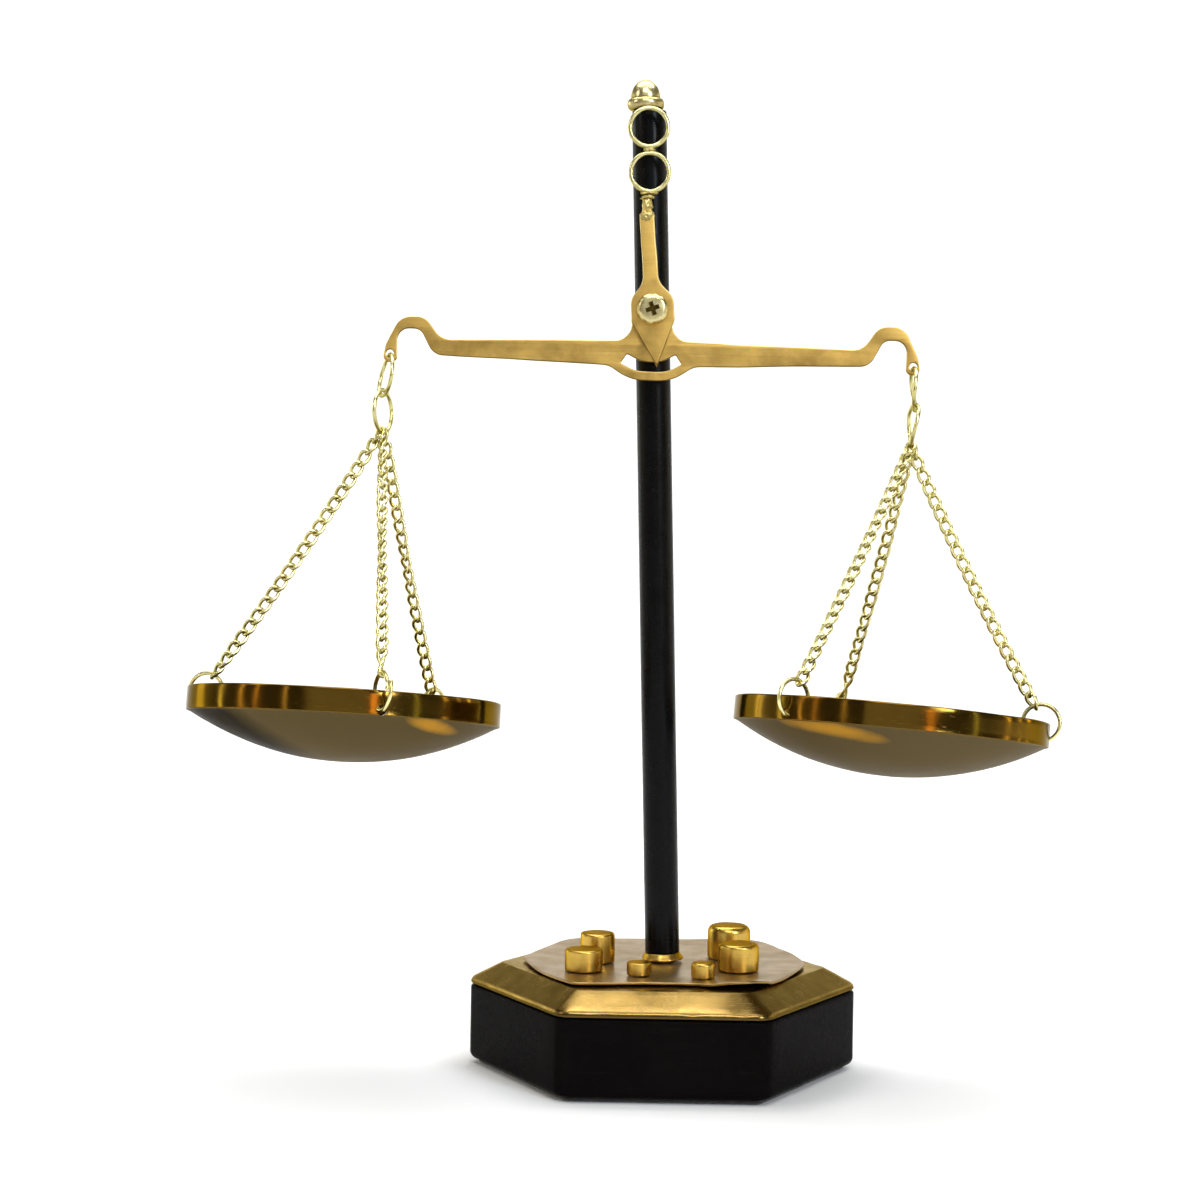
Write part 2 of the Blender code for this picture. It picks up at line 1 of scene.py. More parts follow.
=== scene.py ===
"""Looks of the brass weighing scale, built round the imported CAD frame.

Lengths are in millimetres until they reach Blender, which works in metres. +X runs along the beam, -Y is
the front and +Z is up. Every hanging piece is placed by the same chain of turns as the CAD.
"""

from math import atan2, ceil, cos, hypot, pi, radians, sin, sqrt, tan

import bmesh
import bpy
from mathutils import Matrix, Vector, noise


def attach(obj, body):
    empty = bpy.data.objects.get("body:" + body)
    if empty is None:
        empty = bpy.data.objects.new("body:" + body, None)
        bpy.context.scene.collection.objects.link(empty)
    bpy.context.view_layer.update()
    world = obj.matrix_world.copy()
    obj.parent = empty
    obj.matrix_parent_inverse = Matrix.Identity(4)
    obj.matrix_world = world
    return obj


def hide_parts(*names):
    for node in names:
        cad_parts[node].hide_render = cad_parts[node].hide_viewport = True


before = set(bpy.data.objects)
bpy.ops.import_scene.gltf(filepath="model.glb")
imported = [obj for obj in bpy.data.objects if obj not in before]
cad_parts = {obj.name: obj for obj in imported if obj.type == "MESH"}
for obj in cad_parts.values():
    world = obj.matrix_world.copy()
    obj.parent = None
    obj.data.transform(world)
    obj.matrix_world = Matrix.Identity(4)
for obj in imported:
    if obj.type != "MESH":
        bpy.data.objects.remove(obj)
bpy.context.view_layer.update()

MM = 0.001
SMALLEST_STEP = 0.08

# ---- sizes, mostly as in the CAD

BASE_CORNER_R = 58.0
BLOCK_LOW, BLOCK_HIGH, BLOCK_ROUNDING = 1.3, 23.4, 5.4
COUNTERBORE_R, COUNTERBORE_TOP = 9.5, 10.3
COVER_LOW, COVER_LIP_TOP, COVER_TOP = 23.7, 25.5, 30.0
COVER_INNER_R = 48.3
COVER_SHEET = 0.7
PLATE_LOW, PLATE_HIGH = 30.3, 31.1
STUD_HOLE_R = 4.2
DECK = 31.4

POST_LEAN = -1.73
POST_R = 5.1
POST_LOW, POST_TOP = 3.8, 252.6
PIVOT_HEIGHT = 193.2
HANGER_BACK, BEAM_Y, HANGER_FRONT = -6.9, -9.3, -11.7
HANGER_LEAN = -2.37
HANGER_TOP = 33.4
FORK_SLOT_TOP = 8.6
STRAP_THICKNESS = 2.2
SCREW_HEAD_R, RECESS_WIDTH, RECESS_LENGTH = 4.6, 1.6, 5.1
BEAM_THICKNESS = 1.8
BEAM_TILT = 0.8
EYE_X, EYE_Z, EYE_SEAT = 76.35, -14.6, 0.35

TOP_RING_R, TOP_RING_WIRE = 5.55, 0.66
TOP_RINGS_X, TOP_RINGS_Y = -0.15, -8.0
UPPER_TOP_RING_UP, LOWER_TOP_RING_UP = 53.35, 40.3

LINK_RING_R, LINK_RING_WIRE, LINK_SLACK = 6.15, 0.62, 0.35
PAN_R, PAN_SHEET, PAN_BAND, PAN_DEPTH = 45.0, 0.8, 6.9, 19.2
PAN_HOLE_R = 1.5
PAN_RING_R, PAN_RING_WIRE = 5.2, 0.58
SPLIT_A_C, SPLIT_B, SPLIT_RUN = 62.0, -110.0, 384

CHAIN_PITCH, CHAIN_WIRE, CHAIN_HALF_WIDTH, CHAIN_TWIST = 3.95, 0.53, 1.42, 45.0
CHAIN_STEPS, OVAL_POWER = 28, 2.2

# Leans are (to the left, to the front) in degrees. A link ring's turns are those of its top and its bottom.
# Pan rings are (angle round the rim, hole's depth below it, lean towards the chains, twist). Chains are
# (place along the apex ring's wire, sag, rolls), where a roll is (share of the way down, degrees from lying
# flat to the front).
SIDES = {
    "left": {
        "sign": -1,
        "upper_lean": (8.5, 6.4), "upper_turns": (17.0, 24.0),
        "lower_lean": (0.5, 6.4), "lower_turns": (-16.0, -19.0),
        "apex_to_rim": 77.4, "pan_lean": (6.5, 6.7), "pan_tilt": (2.3, 6.8),
        "pan_rings": ((169.0, 5.4, 23.0, 0.0), (290.0, 5.4, 12.0, -8.0), (58.0, 5.0, 22.0, 0.0)),
        "chains": (
            (-1.0, 0.9, ((0.14, 5), (0.5, -12), (0.85, 8))),
            (0.0, 0.4, ((0.15, 60), (0.3, 30), (0.5, 62), (0.75, 25), (0.9, 15))),
            (1.0, 0.8, ((0.12, -8), (0.3, 12), (0.5, 42), (0.7, 20), (0.9, -5)))),
    },
    "right": {
        "sign": 1,
        "upper_lean": (-2.2, 6.4), "upper_turns": (6.0, -12.0),
        "lower_lean": (4.5, 6.4), "lower_turns": (13.0, -7.0),
        "apex_to_rim": 76.6, "pan_lean": (4.0, 6.7), "pan_tilt": (4.7, 6.0),
        "pan_rings": ((224.0, 5.4, 26.0, 5.0), (347.8, 4.7, 25.0, 0.0), (105.0, 5.0, 22.0, 0.0)),
        "chains": (
            (-1.0, 0.6, ((0.14, 40), (0.35, 52), (0.6, 38), (0.85, 48))),
            (1.0, 1.0, ((0.14, -6), (0.5, 6), (0.88, -4))),
            (0.0, 0.7, ((0.2, 48), (0.42, 5), (0.55, 0), (0.7, 44), (0.9, 30)))),
    },
}

# Each dent in the cover's front edge: X, half width, depth
COVER_DENTS = ((7.5, 1.5, 0.5), (-9.0, 1.1, 0.25), (21.5, 0.9, 0.3), (-21.0, 1.6, 0.175))

# X, Y, radius, height, rounding of the top edge
WEIGHTS = {
    "weight_back_left": (-19.3, -4.2, 5.05, 8.6, 0.9),
    "weight_front_left": (-23.0, -18.5, 5.45, 6.2, 0.7),
    "weight_small_left": (-7.0, -24.6, 3.45, 3.7, 0.4),
    "weight_small_right": (11.3, -27.2, 3.35, 4.4, 0.9),
    "weight_front_right": (21.9, -14.2, 5.9, 7.8, 1.2),
    "weight_back_right": (19.9, 6.2, 6.35, 9.8, 2.0),
}


# ---- places

def shift(x=0.0, y=0.0, z=0.0):
    return Matrix.Translation(Vector((x, y, z)) * MM)


def turn(degrees, axis):
    return Matrix.Rotation(radians(degrees), 4, axis)


def lean(left_and_front):
    left, front = left_and_front
    return turn(left, "Y") @ turn(-front, "X")


POST_AXIS = shift(z=COVER_TOP) @ turn(POST_LEAN, "Y")
PIVOT = POST_AXIS @ shift(z=PIVOT_HEIGHT)
HANGER = PIVOT @ turn(HANGER_LEAN, "Y")
BEAM_PIVOT = PIVOT @ shift(y=BEAM_Y) @ turn(BEAM_TILT - POST_LEAN, "Y")
FACING_FRONT = turn(90, "X")


def swings(side):
    """The places of one side's upper ring, lower ring and chain apex, and of its pan."""
    spec = SIDES[side]
    upper_lean, lower_lean = lean(spec["upper_lean"]), lean(spec["lower_lean"])
    pan_lean, pan_tilt = lean(spec["pan_lean"]), lean(spec["pan_tilt"])
    eye = BEAM_PIVOT @ shift(spec["sign"] * EYE_X, z=EYE_Z) @ turn(-BEAM_TILT, "Y")
    upper = eye @ shift(z=-EYE_SEAT) @ upper_lean
    drop = -2 * LINK_RING_R + 2 * LINK_RING_WIRE + LINK_SLACK
    lower = upper @ shift(z=drop) @ upper_lean.inverted() @ lower_lean
    swivel = lower @ shift(z=-2 * LINK_RING_R) @ lower_lean.inverted() @ pan_lean
    pan = swivel @ shift(z=-spec["apex_to_rim"]) @ pan_lean.inverted() @ pan_tilt
    return upper, lower, swivel, pan


# ---- outlines

def arc(centre, radius, start, end, steps):
    angles = [radians(start + (end - start) * i / steps) for i in range(steps + 1)]
    return [(centre[0] + radius * cos(a), centre[1] + radius * sin(a)) for a in angles]


def filleted(corners, fineness=6.0):
    """A closed outline from (x, y, radius) corners, with each corner rounded by an arc."""
    points = []
    for i, (x, y, radius) in enumerate(corners):
        corner = Vector((x, y))
        if radius == 0:
            points.append(tuple(corner))
            continue
        before = (Vector(corners[i - 1][:2]) - corner).normalized()
        after = (Vector(corners[(i + 1) % len(corners)][:2]) - corner).normalized()
        half = before.angle(after) / 2
        reach = radius / tan(half)
        centre = corner + (before + after).normalized() * (radius / sin(half))
        first, last = corner + before * reach - centre, corner + after * reach - centre
        sweep = first.angle_signed(last)
        steps = max(2, round(abs(sweep) / radians(fineness)))
        for step in range(steps + 1):
            points.append(tuple(centre + Matrix.Rotation(-sweep * step / steps, 2) @ first))
    return points


def divided(points, longest):
    """A closed outline with no piece longer than a length and no two points that nearly coincide."""
    def apart(a, b):
        return hypot(b[0] - a[0], b[1] - a[1])

    points = [p for i, p in enumerate(points) if i == 0 or apart(points[i - 1], p) > SMALLEST_STEP]
    out = []
    for a, b in zip(points, points[1:] + points[:1]):
        cuts = max(1, ceil(apart(a, b) / longest))
        out += [(a[0] + (b[0] - a[0]) * i / cuts, a[1] + (b[1] - a[1]) * i / cuts) for i in range(cuts)]
    return out


def circle(x, y, radius, sides=48):
    angles = [2 * pi * i / sides for i in range(sides)]
    return [(x + radius * cos(a), y + radius * sin(a)) for a in angles]


def smooth_loop(points, steps=8):
    """A closed Catmull-Rom curve through points."""
    out = []
    n = len(points)
    for i in range(n):
        a, b, c, d = (Vector(points[(i + k) % n]) for k in (-1, 0, 1, 2))
        for s in range(steps):
            t = s / steps
            out.append(tuple(0.5 * (2 * b + (c - a) * t + (2 * a - 5 * b + 4 * c - d) * t * t
                                    + (3 * b - a - 3 * c + d) * t ** 3)))
    return out


# ---- meshes

def cleaned(mesh, merge, place=None):
    """The mesh with points closer than merge joined, its faces turned outwards and, after that, moved."""
    bm = bmesh.new()
    bm.from_mesh(mesh)
    bmesh.ops.remove_doubles(bm, verts=bm.verts, dist=merge)
    bmesh.ops.recalc_face_normals(bm, faces=bm.faces)
    if bm.calc_volume(signed=True) < 0:
        bmesh.ops.reverse_faces(bm, faces=bm.faces)
    if place:
        bm.transform(place)
    bm.to_mesh(mesh)
    bm.free()
    return mesh


def mesh_from(name, vertices, faces, warp=None):
    """A mesh from millimetres. warp takes a point and gives how far to move it."""
    if warp:
        vertices = [Vector(v) + Vector(warp(*v)) for v in vertices]
    mesh = bpy.data.meshes.new(name)
    mesh.from_pydata([Vector(v) * MM for v in vertices], [], faces)
    mesh.validate()
    return cleaned(mesh, 1e-8)


def rows_of(count, length, start=0):
    """Numbers of the points in rows of one length."""
    return [list(range(start + i * length, start + (i + 1) * length)) for i in range(count)]


def skin(rows, closed):
    """Faces between rows of points that each run round. closed joins the last row to the first, too."""
    faces = []
    for a, b in zip(rows, rows[1:] + rows[:1] if closed else rows[1:]):
        for k in range(len(a)):
            m = (k + 1) % len(a)
            faces.append((a[k], a[m], b[m], b[k]))
    return faces


def loft(name, loops, warp=None, closed=True):
    """Skin over loops of 3-D points with the same count. Its ends are filled unless it's closed."""
    rows = rows_of(len(loops), len(loops[0]))
    faces = skin(rows, closed)
    if not closed:
        faces += [tuple(rows[0])[::-1], tuple(rows[-1])]
    return mesh_from(name, [p for loop in loops for p in loop], faces, warp)


def lathe(name, profile, steps=96, warp=None):
    """A solid of revolution from (radius, height) points that run round its section."""
    vertices, rows = [], []
    for r, z in profile:
        if r < 1e-6:
            rows.append([len(vertices)] * steps)
            vertices.append((0.0, 0.0, z))
        else:
            rows += rows_of(1, steps, len(vertices))
            vertices += [(x, y, z) for x, y in circle(0, 0, r, steps)]
    faces = [tuple(dict.fromkeys(face)) for face in skin(rows, closed=profile[0][0] > 1e-6)]
    return mesh_from(name, vertices, [face for face in faces if len(face) > 2], warp)


def tube(points, radius, closed=True, across=12, start_vertex=0):
    """Vertices and faces of a round wire along points. radius may be a list, one for each point."""
    count = len(points)
    points = [Vector(p) for p in points]
    radii = radius if isinstance(radius, list) else [radius] * count
    tangents = []
    for i in range(count):
        before, after = (i - 1, (i + 1) % count) if closed else (max(0, i - 1), min(count - 1, i + 1))
        tangents.append((points[after] - points[before]).normalized())
    normal = tangents[0].orthogonal().normalized()
    normals = [normal]
    for i in range(1, count):
        normal = tangents[i - 1].rotation_difference(tangents[i]) @ normal
        normals.append(normal)
    untwist = 0.0
    if closed:
        back = tangents[-1].rotation_difference(tangents[0]) @ normals[-1]
        untwist = atan2(back.cross(normals[0]).dot(tangents[0]), back.dot(normals[0]))
    section = circle(0, 0, 1, across)
    vertices = []
    for i in range(count):
        u = Matrix.Rotation(untwist * i / count, 3, tangents[i]) @ normals[i]
        v = tangents[i].cross(u)
        vertices += [points[i] + (u * x + v * y) * radii[i] for x, y in section]
    rows = rows_of(count, across, start_vertex)
    faces = skin(rows, closed)
    if not closed:
        faces += [tuple(rows[0])[::-1], tuple(rows[-1])]
    return [tuple(v) for v in vertices], faces


def wire(name, points, radius, closed=True, across=12, warp=None):
    vertices, faces = tube(points, radius, closed, across)
    return mesh_from(name, vertices, faces, warp)


def blunt(points, radius, steps=4):
    """Radii that round off both ends of an open wire, with points added for them."""
    points = [Vector(p) for p in points]
    head, tail = (points[0] - points[1]).normalized(), (points[-1] - points[-2]).normalized()
    ends = [(radius * 0.5 * sin(pi / 2 * i / steps), radius * (0.62 + 0.38 * cos(pi / 2 * i / steps)))
            for i in range(steps + 1)]
    before = [(points[0] + head * d, r) for d, r in ends[:0:-1]]
    after = [(points[-1] + tail * d, r) for d, r in ends[1:]]
    both = before + [(p, radius) for p in points] + after
    return [p for p, r in both], [r for p, r in both]


def new_object(name, data):
    made = bpy.data.objects.new(name, data)
    bpy.context.scene.collection.objects.link(made)
    return made


def baked(made):
    """A mesh of what an object in the scene comes to once its modifiers are applied."""
    bpy.context.view_layer.update()
    return bpy.data.meshes.new_from_object(made.evaluated_get(bpy.context.evaluated_depsgraph_get()))


def flat_piece(name, loops, thickness, edge):
    """A flat piece facing the front, cut to an outline with holes, with rounded edges."""
    curve = bpy.data.curves.new(name, "CURVE")
    curve.dimensions = "2D"
    curve.fill_mode = "BOTH"
    curve.extrude = (thickness / 2 - edge) * MM
    curve.bevel_depth = edge * MM
    curve.bevel_resolution = 3
    curve.offset = -edge * MM
    for loop in loops:
        spline = curve.splines.new("POLY")
        spline.points.add(len(loop) - 1)
        for point, (x, y) in zip(spline.points, loop):
            point.co = (x * MM, y * MM, 0.0, 1.0)
        spline.use_cyclic_u = True
    holder = new_object(name, curve)
    mesh = baked(holder)
    bpy.data.objects.remove(holder)
    return cleaned(mesh, 1e-6, FACING_FRONT)


def box_mesh(x_size, y_size, z_size, centre, taper=1.0):
    bm = bmesh.new()
    bmesh.ops.create_cube(bm, size=1.0)
    for vertex in bm.verts:
        if vertex.co.z < 0:
            vertex.co.x *= taper
            vertex.co.y *= taper
    bm.transform(shift(*centre) @ Matrix.Diagonal(Vector((x_size, y_size, z_size, 1000.0)) * MM))
    mesh = bpy.data.meshes.new("box")
    bm.to_mesh(mesh)
    bm.free()
    return mesh


def cut(mesh, cutters):
    """The mesh after (cutter mesh, place) pairs are taken from it."""
    holders = [new_object("target", mesh)]
    for cutter, place in cutters:
        holder = new_object("cutter", cutter)
        holder.matrix_basis = place
        modifier = holders[0].modifiers.new("cut", "BOOLEAN")
        modifier.operation = "DIFFERENCE"
        modifier.solver = "EXACT"
        modifier.object = holder
        holders.append(holder)
    made = baked(holders[0])
    for holder in holders:
        bpy.data.objects.remove(holder)
    return made


def lumps(amount, size, seed=0.0):
    """A warp in millimetres by smooth noise, read in another place for each axis."""
    def warp(x, y, z):
        at = Vector((x, y, z)) / size + Vector((seed, seed * 1.7, -seed))
        return Vector([noise.noise(at + Vector((0.0, 0.0, away))) for away in (0.0, 37.3, 71.9)]) * amount
    return warp


# ---- materials

def rgb(code):
    """A linear colour from an sRGB hex code."""
    parts = [int(code[i:i + 2], 16) / 255 for i in (1, 3, 5)]
    return (*(((c + 0.055) / 1.055) ** 2.4 if c > 0.04045 else c / 12.92 for c in parts), 1.0)


# The film under a pan, in its own coordinates: the heights between which it starts, the painted bright
# reflection's depth, half height and slope, and the X between which the painted dark reflection starts, which
# shifts with the height by a slant.
FILM_EDGE = (-6.5 * MM, -7.0 * MM)
SPOT_DEPTH, SPOT_HALF_HEIGHT, SPOT_SLOPE = 8.4 * MM, 1.852 * MM, 0.12
DARK_REFLECTION_EDGE, DARK_REFLECTION_SLANT = (-33 * MM, -42 * MM), 1.6
FILM_METALLIC = 0.06
# Colour of the painted bright reflection under a pan.
BRIGHT_REFLECTION_COLOUR = "#b5842c"
# Dark brown mixed into the painted shade on faces that turn downwards.
PAINTED_SHADE_COLOUR = "#241a0a"


class Nodes:
    """Short calls for building one material's node tree."""

    def __init__(self, name):
        self.material = bpy.data.materials.new(name)
        self.material.use_nodes = True
        self.tree = self.material.node_tree
        self.shader = self.tree.nodes["Principled BSDF"]
        texture = self.node("ShaderNodeTexCoord")
        self.coords, self.normals = texture.outputs["Object"], texture.outputs["Normal"]

    def node(self, kind, inputs=None, **settings):
        made = self.tree.nodes.new(kind)
        for key, value in settings.items():
            setattr(made, key, value)
        self.feed(made, inputs or {})
        return made

    def feed(self, node, inputs):
        """Links the inputs that are given as sockets and sets the others."""
        for key, value in inputs.items():
            if isinstance(value, bpy.types.NodeSocket):
                self.tree.links.new(value, node.inputs[key])
            else:
                node.inputs[key].default_value = value

    def math(self, operation, a, b=0.0, clamp=False):
        return self.node("ShaderNodeMath", {0: a, 1: b}, operation=operation, use_clamp=clamp).outputs[0]

    def plus(self, a, b, clamp=False):
        return self.math("ADD", a, b, clamp)

    def times(self, a, b):
        return self.math("MULTIPLY", a, b)

    def along(self, vector, axis):
        """One of a vector's three numbers."""
        return self.node("ShaderNodeSeparateXYZ", {0: vector}).outputs[axis]

    def stretched(self, scale, spin=(0.0, 0.0, 0.0), source=None):
        return self.node("ShaderNodeMapping", {
            "Vector": source or self.coords, "Rotation": [radians(a) for a in spin], "Scale": scale}).outputs[0]

    def noise(self, scale, detail=4.0, roughness=0.55, vector=None, distortion=0.0):
        return self.node("ShaderNodeTexNoise", {
            "Vector": vector or self.coords, "Scale": scale, "Detail": detail,
            "Roughness": roughness, "Distortion": distortion}).outputs["Fac"]

    def ramp(self, value, low, high, to_low=0.0, to_high=1.0):
        return self.node("ShaderNodeMapRange", {
            "Value": value, "From Min": low, "From Max": high, "To Min": to_low, "To Max": to_high,
        }).outputs["Result"]

    def mix(self, share, a, b):
        return self.node("ShaderNodeMix", {0: share, 6: a, 7: b}, data_type="RGBA").outputs[2]

    def radial(self):
        """Distance from the piece's own Z axis, and height, as a vector."""
        flat = self.stretched((1.0, 1.0, 0.0))
        length = self.node("ShaderNodeVectorMath", {0: flat}, operation="LENGTH").outputs["Value"]
        height = self.along(self.coords, "Z")
        return self.node("ShaderNodeCombineXYZ", {"X": length, "Y": height, "Z": 0.0}).outputs[0]

    def hairlines(self, length, fineness, spin, sparse):
        """Thin straight scratches: stretched noise with only its peaks kept."""
        lines = self.noise(1.0, 2.0, 0.6, self.stretched((length, fineness, fineness), spin))
        return self.ramp(lines, sparse, sparse + 0.06)

    def finish(self, tint, rough, height, strength, distance, constants):
        """Links the colour, the roughness and the relief to the shader, and gives back the material."""
        bump = self.node("ShaderNodeBump", {"Height": height, "Strength": strength, "Distance": distance})
        self.feed(self.shader, {"Base Color": tint, "Roughness": rough, "Normal": bump.outputs["Normal"]})
        self.feed(self.shader, constants)
        return self.material


def tool_marks(n, grain):
    """Relief of a finish: "brushed" along X, "drawn" along Z, "spun" round Z, "cast" or a lacquer's "peel"."""
    if grain == "spun":
        return n.noise(1.0, 3.0, 0.7, n.stretched((3200, 3200, 1), source=n.radial()))
    if grain == "drawn":
        return n.noise(1.0, 3.0, 0.65, n.stretched((2600, 2600, 22)))
    if grain == "brushed":
        return n.noise(1.0, 3.0, 0.65, n.stretched((40, 2400, 2400)))
    return n.noise(900.0, 6.0, 0.7) if grain == "cast" else n.noise(520.0, 1.0, 0.4)


def film_and_painted_reflections(n, tint, patch, smudge, film_and_reflections):
    """A dull layer under a pan, with a painted dark reflection towards -X and a painted bright one below the
    band.

    film is (colour, painted dark reflection's colour and amount, painted bright reflection's X and half width).
    Gives the tint and the layer.
    """
    colour, dark_reflection_colour, dark_reflection_amount, spot_x, spot_half_width = film_and_reflections
    x, z = n.along(n.coords, "X"), n.along(n.coords, "Z")
    underside = n.ramp(n.along(n.normals, "Z"), 0.05, -0.10)
    layer = n.times(n.ramp(n.plus(z, n.times(patch, 0.2 * MM)), *FILM_EDGE), underside)

    # Painted bright reflection: a spot below the band.
    from_spot = n.plus(x, -spot_x)
    across = n.times(from_spot, 1 / spot_half_width)
    down = n.times(n.plus(n.plus(z, n.times(from_spot, SPOT_SLOPE)), SPOT_DEPTH), 1 / SPOT_HALF_HEIGHT)
    reach = n.plus(n.math("POWER", across, 2.0), n.math("POWER", down, 2.0))
    bright_reflection = n.ramp(n.plus(reach, n.times(patch, 0.5)), 1.4, 0.2)

    # Painted dark reflection: darker towards -X, with a slanted edge.
    slant = n.plus(n.plus(x, n.times(z, DARK_REFLECTION_SLANT)), n.times(smudge, 2 * MM))
    with_dark_reflection = n.mix(n.times(n.ramp(slant, *DARK_REFLECTION_EDGE), dark_reflection_amount), rgb(colour), rgb(dark_reflection_colour))
    tint = n.mix(n.times(layer, 0.95), tint, with_dark_reflection)
    return n.mix(n.times(bright_reflection, layer), tint, rgb(BRIGHT_REFLECTION_COLOUR)), layer


def metal(name, colour, tarnish, roughness, metallic=1.0, patches=0.35, patch_scale=70.0, grain="peel",
          grain_depth=0.3, scratch=0.35, pits=0.2, rough_spread=0.12, scratch_colour=None, ior=1.5,
          edge="#ffffff", painted_shade=0.0, painted_shade_range=(-0.15, -0.75), film_and_reflections=None, edge_highlight=None):
    """A worked metal: patchy colour, tool marks, hairline scratches, pits and smudged roughness.

    edge is the reflection's colour at grazing angles, the painted shade's amount darkens what faces down, the
    painted edge highlight's colour lightens a flat piece's upper and side edges, and the film under a pan with
    its painted reflections is described above.
    """
    n = Nodes(name)
    patch = n.ramp(n.noise(patch_scale, 5.0, 0.62, distortion=0.4), 0.38, 0.68)
    fine = n.noise(2600.0, 3.0, 0.6)
    smudge = n.noise(patch_scale * 2.3, 3.0, 0.5, n.stretched((1, 1, 1), (31, 17, 64)))
    smudge = n.ramp(smudge, 0.3, 0.75)
    hair = [n.hairlines(60, 2600, (12, 8, 28), 0.66), n.hairlines(45, 2100, (-20, 35, -41), 0.67)]
    hair = n.math("MAXIMUM", *hair)
    marks = tool_marks(n, grain)

    tint = n.mix(n.times(patch, patches), rgb(colour), rgb(tarnish))
    tint = n.mix(n.times(n.ramp(marks, 0.3, 0.7), 0.22), tint, rgb(tarnish))
    tint = n.mix(n.times(hair, 0.3 * scratch), tint, rgb(scratch_colour or colour))
    tint = n.mix(n.times(n.ramp(fine, 0.62, 0.72), pits), tint, rgb(tarnish))
    rough = n.plus(n.times(smudge, rough_spread), roughness)
    rough = n.plus(rough, n.times(patch, rough_spread * 0.5))
    rough = n.plus(rough, n.times(hair, 0.15 * scratch), clamp=True)
    # A pan's film also brings a painted dark reflection and a painted bright reflection.
    if film_and_reflections:
        tint, layer = film_and_painted_reflections(n, tint, patch, smudge, film_and_reflections)
        rough = n.plus(rough, n.times(layer, 0.2))
        metallic = n.ramp(layer, 0.0, 1.0, metallic, FILM_METALLIC)
    # A painted highlight on a flat piece's upper and side edges, not on those that face down.
    if edge_highlight:
        at_edge = n.ramp(n.math("ABSOLUTE", n.along(n.normals, "Y")), 0.97, 0.70)
        at_edge = n.times(at_edge, n.ramp(n.along(n.normals, "Z"), -0.35, 0.05))
        tint = n.mix(n.times(at_edge, 0.85), tint, rgb(edge_highlight))
    # Painted shade: darker the more a face turns downwards.
    if painted_shade:
        below = n.plus(n.along(n.normals, "Z"), n.times(patch, -0.25))
        below = n.times(n.ramp(below, *painted_shade_range), painted_shade)
        tint = n.mix(below, tint, n.mix(0.6, rgb(tarnish), rgb(PAINTED_SHADE_COLOUR)))

    height = n.plus(n.times(marks, grain_depth), n.times(hair, -0.25 * scratch))
    height = n.plus(height, n.times(fine, 0.12 * pits))
    return n.finish(tint, rough, height, 0.35, 0.06 * MM, {
        "Metallic": metallic, "IOR": ior, "Specular Tint": rgb(edge)})


def felt_material():
    n = Nodes("felt")
    fibres = n.noise(2200.0, 6.0, 0.75, distortion=1.5)
    clumps = n.ramp(n.noise(260.0, 4.0, 0.6), 0.3, 0.7)
    tint = n.mix(clumps, rgb("#232224"), rgb("#34322f"))
    tint = n.mix(n.ramp(fibres, 0.5, 0.75, 0.0, 0.5), tint, rgb("#4b4843"))
    rough = n.ramp(fibres, 0.2, 0.8, 0.85, 1.0)
    return n.finish(tint, rough, n.plus(fibres, clumps), 0.8, 0.25 * MM, {"Sheen Weight": 0.4})


def backdrop_material():
    """Pale on the floor and on the wall behind, grey elsewhere, where it only shows in reflections."""
    n = Nodes("backdrop")
    back, up = n.along(n.coords, "Y"), n.along(n.coords, "Z")
    behind = n.times(n.ramp(back, 0.3, 1.5), n.ramp(up, 1.25, 0.95))
    floor = n.ramp(up, 0.12, 0.0)
    pale = n.mix(n.noise(3.0, 2.0, 0.5), rgb("#f9f9f8"), rgb("#fbfbfa"))
    tint = n.mix(n.math("MAXIMUM", behind, floor), rgb("#757471"), pale)
    n.feed(n.shader, {"Base Color": tint, "Roughness": 0.9, "Specular IOR Level": 0.1})
    return n.material


LACQUER = metal("black_lacquer", "#0a0808", "#131010", 0.20, metallic=0.0, grain_depth=0.5, scratch=0.5,
                scratch_colour="#302c2a", pits=0.1, ior=1.055)
POST_PAINT = metal("black_paint", "#050506", "#0b0c0d", 0.20, metallic=0.0, grain="drawn", grain_depth=0.25,
                   scratch=0.6, scratch_colour="#26272b", pits=0.15, ior=1.2)
FELT = felt_material()
# Painted shade on the cover's upright lip and on what faces down.
COVER_BRASS = metal("cover_brass", "#a2854a", "#725c31", 0.17, grain="brushed", patches=0.45, edge="#ddd4b8",
                    painted_shade=0.9, painted_shade_range=(0.55, 0.1))
PLATE_BRASS = metal("plate_brass", "#a88a52", "#785f35", 0.28, grain="cast", grain_depth=0.5, patches=0.5)
# Satin brass: a painted highlight on upper and side edges, and painted shade on what faces down.
SATIN_BRASS = metal("satin_brass", "#dcb662", "#96763a", 0.34, grain="brushed", grain_depth=0.6, patches=0.2,
                    patch_scale=90.0, scratch=0.7, scratch_colour="#f2dc9c", edge="#e0d4a8", painted_shade=0.95,
                    painted_shade_range=(-0.05, -0.55), edge_highlight="#fff2c0")
# Painted shade on the downward faces of the finial and the pivot screw.
POLISHED_BRASS = metal("polished_brass", "#ece0a8", "#8f7a3c", 0.22, grain="spun", patches=0.55,
                       patch_scale=160.0, edge="#cdbf8c", painted_shade=0.7)
# Dark brass that stands for the painted shade inside the screw's cross recess.
RECESS_SHADE_BRASS = metal("recess_shade_brass", "#5b4a1e", "#2c230e", 0.45, grain="cast", grain_depth=0.6)
WEIGHT_BRASS = metal("weight_brass", "#dcb65a", "#8c6b29", 0.22, grain="spun", grain_depth=0.45, patches=0.5,
                     edge="#a08a50")
